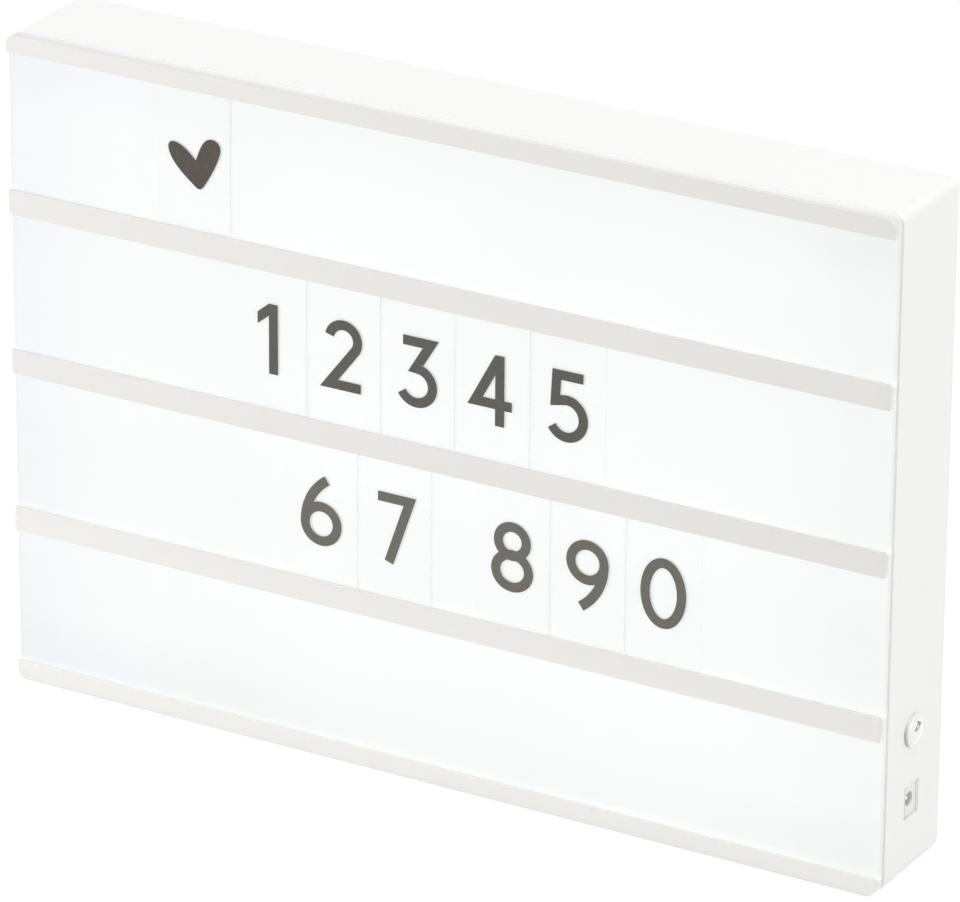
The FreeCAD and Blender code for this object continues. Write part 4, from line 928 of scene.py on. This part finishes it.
def cut_cross(obj, place):
    """Sinks a tapered cross recess into a screw's head."""
    points, triangles = joined([
        stroke([(-CROSS_REACH, 0), (CROSS_REACH, 0)], CROSS_WIDTH),
        stroke([(0, -CROSS_REACH), (0, CROSS_REACH)], CROSS_WIDTH)])
    top = place.y + HEAD_HEIGHT
    corners = [(place.x + p.x * share, level, place.z + p.y * share)
               for share, level in ((CROSS_TAPER, top - CROSS_DEPTH), (1.0, top + 1 * MM))
               for p in points]
    mesh = make_mesh("cutter", corners, prism_faces(points, triangles))
    cutter = put("cutter", mesh)
    modifier = obj.modifiers.new("cross", "BOOLEAN")
    modifier.operation = "DIFFERENCE"
    modifier.solver = "EXACT"
    modifier.object = cutter
    evaluated = obj.evaluated_get(bpy.context.evaluated_depsgraph_get())
    whole, obj.data = obj.data, bpy.data.meshes.new_from_object(evaluated)
    obj.modifiers.clear()
    bpy.data.objects.remove(cutter)
    for spent in (whole, mesh):
        bpy.data.meshes.remove(spent)


def screw_seats():
    """The middles of the seats in the housing's four towers, with their depth found by a ray."""
    low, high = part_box("rear_housing")
    tree = BVHTree.FromObject(NODES["rear_housing"], bpy.context.evaluated_depsgraph_get())
    seats = []
    for x in (low.x + TOWER_IN, high.x - TOWER_IN):
        for z in (low.z + TOWER_UP, high.z - TOWER_UP):
            behind = Vector((x + SEAT_FROM_AXIS, high.y + 50 * MM, z))
            hit = tree.ray_cast(behind, Vector((0, -1, 0)))[0]
            seats.append(Vector((x, hit.y, z)))
    return seats


for number, seat in enumerate(screw_seats(), start=1):
    add_screw(f"housing_screw_{number}", seat)


# ---------------------------------------------------------------- studio

FLOOR_HALF, FLOOR_DROP = 9.0, 0.2 * MM
FLOOR_LIT, FLOOR_SHADED = (0.90, 0.90, 0.895), (0.30, 0.30, 0.30)
# What the floor adds to its shaded colour for the camera: from To Min near to To Max far away.
FLOOR_GLOW = {"From Min": 0.9, "From Max": 2.4, "To Min": 0.76, "To Max": 1.0}
WORLD_LIGHT = 0.50
AIM = (0.0, 0.0, 0.15)
# name, place, size and watts
SOFT_BOXES = (("light_top", (0.1, 0.3, 2.4), (2.2, 1.8), 24),
              ("light_left", (-1.35, -1.2, 0.45), (1.0, 0.8), 13.2),
              ("light_right", (2.45, -0.6, 1.15), (1.6, 1.6), 19))


def seen_directly(tree):
    """1 for rays from the camera and for what gloss and glass show of the background."""
    path = add_node(tree, "LightPath")
    total = path.outputs["Is Camera Ray"]
    for name in ("Is Glossy Ray", "Is Transmission Ray"):
        total = add_node(tree, "Math", {0: total, 1: path.outputs[name]},
                         operation="MAXIMUM").outputs[0]
    return total


def studio_floor():
    """A pale floor that renders white to the camera and keeps the object's soft shadow."""
    level = cad_low.z - FLOOR_DROP
    corners = [(x * FLOOR_HALF, y * FLOOR_HALF, level)
               for x, y in ((-1, -1), (1, -1), (1, 1), (-1, 1))]
    floor = put("studio_floor", make_mesh("studio_floor", corners, [(0, 1, 2, 3)]))
    material = bpy.data.materials.new("studio_floor")
    material.use_nodes = True
    tree = material.node_tree
    tree.nodes.clear()
    lit = add_node(tree, "BsdfDiffuse", {"Color": FLOOR_LIT}).outputs[0]
    shade = add_node(tree, "BsdfDiffuse", {"Color": FLOOR_SHADED}).outputs[0]
    place = add_node(tree, "TexCoord").outputs["Object"]
    distance = add_node(tree, "VectorMath", {0: place}, operation="LENGTH").outputs["Value"]
    glow = add_node(tree, "MapRange", {"Value": distance, **FLOOR_GLOW},
                    interpolation_type="SMOOTHSTEP").outputs["Result"]
    white = add_node(tree, "Emission", {"Strength": glow}).outputs[0]
    both = add_node(tree, "AddShader", {0: shade, 1: white}).outputs[0]
    mixed = add_node(tree, "MixShader", {0: seen_directly(tree), 1: lit, 2: both}).outputs[0]
    add_node(tree, "OutputMaterial", {"Surface": mixed})
    floor.data.materials.append(material)


def studio_world():
    """Soft even light all round, white where the camera looks past the floor."""
    world = bpy.data.worlds.new("studio")
    world.use_nodes = True
    tree = world.node_tree
    amount = add_node(tree, "MapRange", {"Value": seen_directly(tree), "To Min": WORLD_LIGHT,
                                         "To Max": 1.0}).outputs[0]
    ground = tree.nodes["Background"]
    feed(tree, ground, "Strength", amount)
    feed(tree, ground, "Color", (1, 1, 1))
    bpy.context.scene.world = world


def soft_box(name, place, size, watts):
    """A rectangular lamp that faces the object."""
    light = bpy.data.lights.new(name, "AREA")
    light.shape = "RECTANGLE"
    light.size, light.size_y = size
    light.energy = watts
    obj = put(name, light)
    obj.location = place
    obj.rotation_mode = "QUATERNION"
    obj.rotation_quaternion = (Vector(AIM) - Vector(place)).to_track_quat("-Z", "Y")


studio_floor()
studio_world()
for lamp in SOFT_BOXES:
    soft_box(*lamp)


# ---------------------------------------------------------------- camera

SENSOR_WIDTH, LENS = 36.0, 277.48
CAMERA_PLACE = (1.43366, -2.48134, 1.37038)
CAMERA_FORWARD = (-0.458685, 0.796724, -0.393497)
CAMERA_RIGHT = (0.865257, 0.501289, 0.006375)


def aim_camera():
    """The camera of the photograph, from a fit to the box's edges in it."""
    data = bpy.data.cameras.new("camera")
    data.sensor_fit = "HORIZONTAL"
    data.sensor_width = SENSOR_WIDTH
    data.lens = LENS
    data.clip_start, data.clip_end = 0.05, 60.0
    camera = put("camera", data)
    forward = Vector(CAMERA_FORWARD).normalized()
    right = Vector(CAMERA_RIGHT)
    right = (right - forward * right.dot(forward)).normalized()
    turn = Matrix((right, right.cross(forward), -forward)).transposed().to_4x4()
    turn.translation = CAMERA_PLACE
    camera.matrix_world = turn
    bpy.context.scene.camera = camera


aim_camera()
bpy.context.scene.view_settings.view_transform = "Standard"
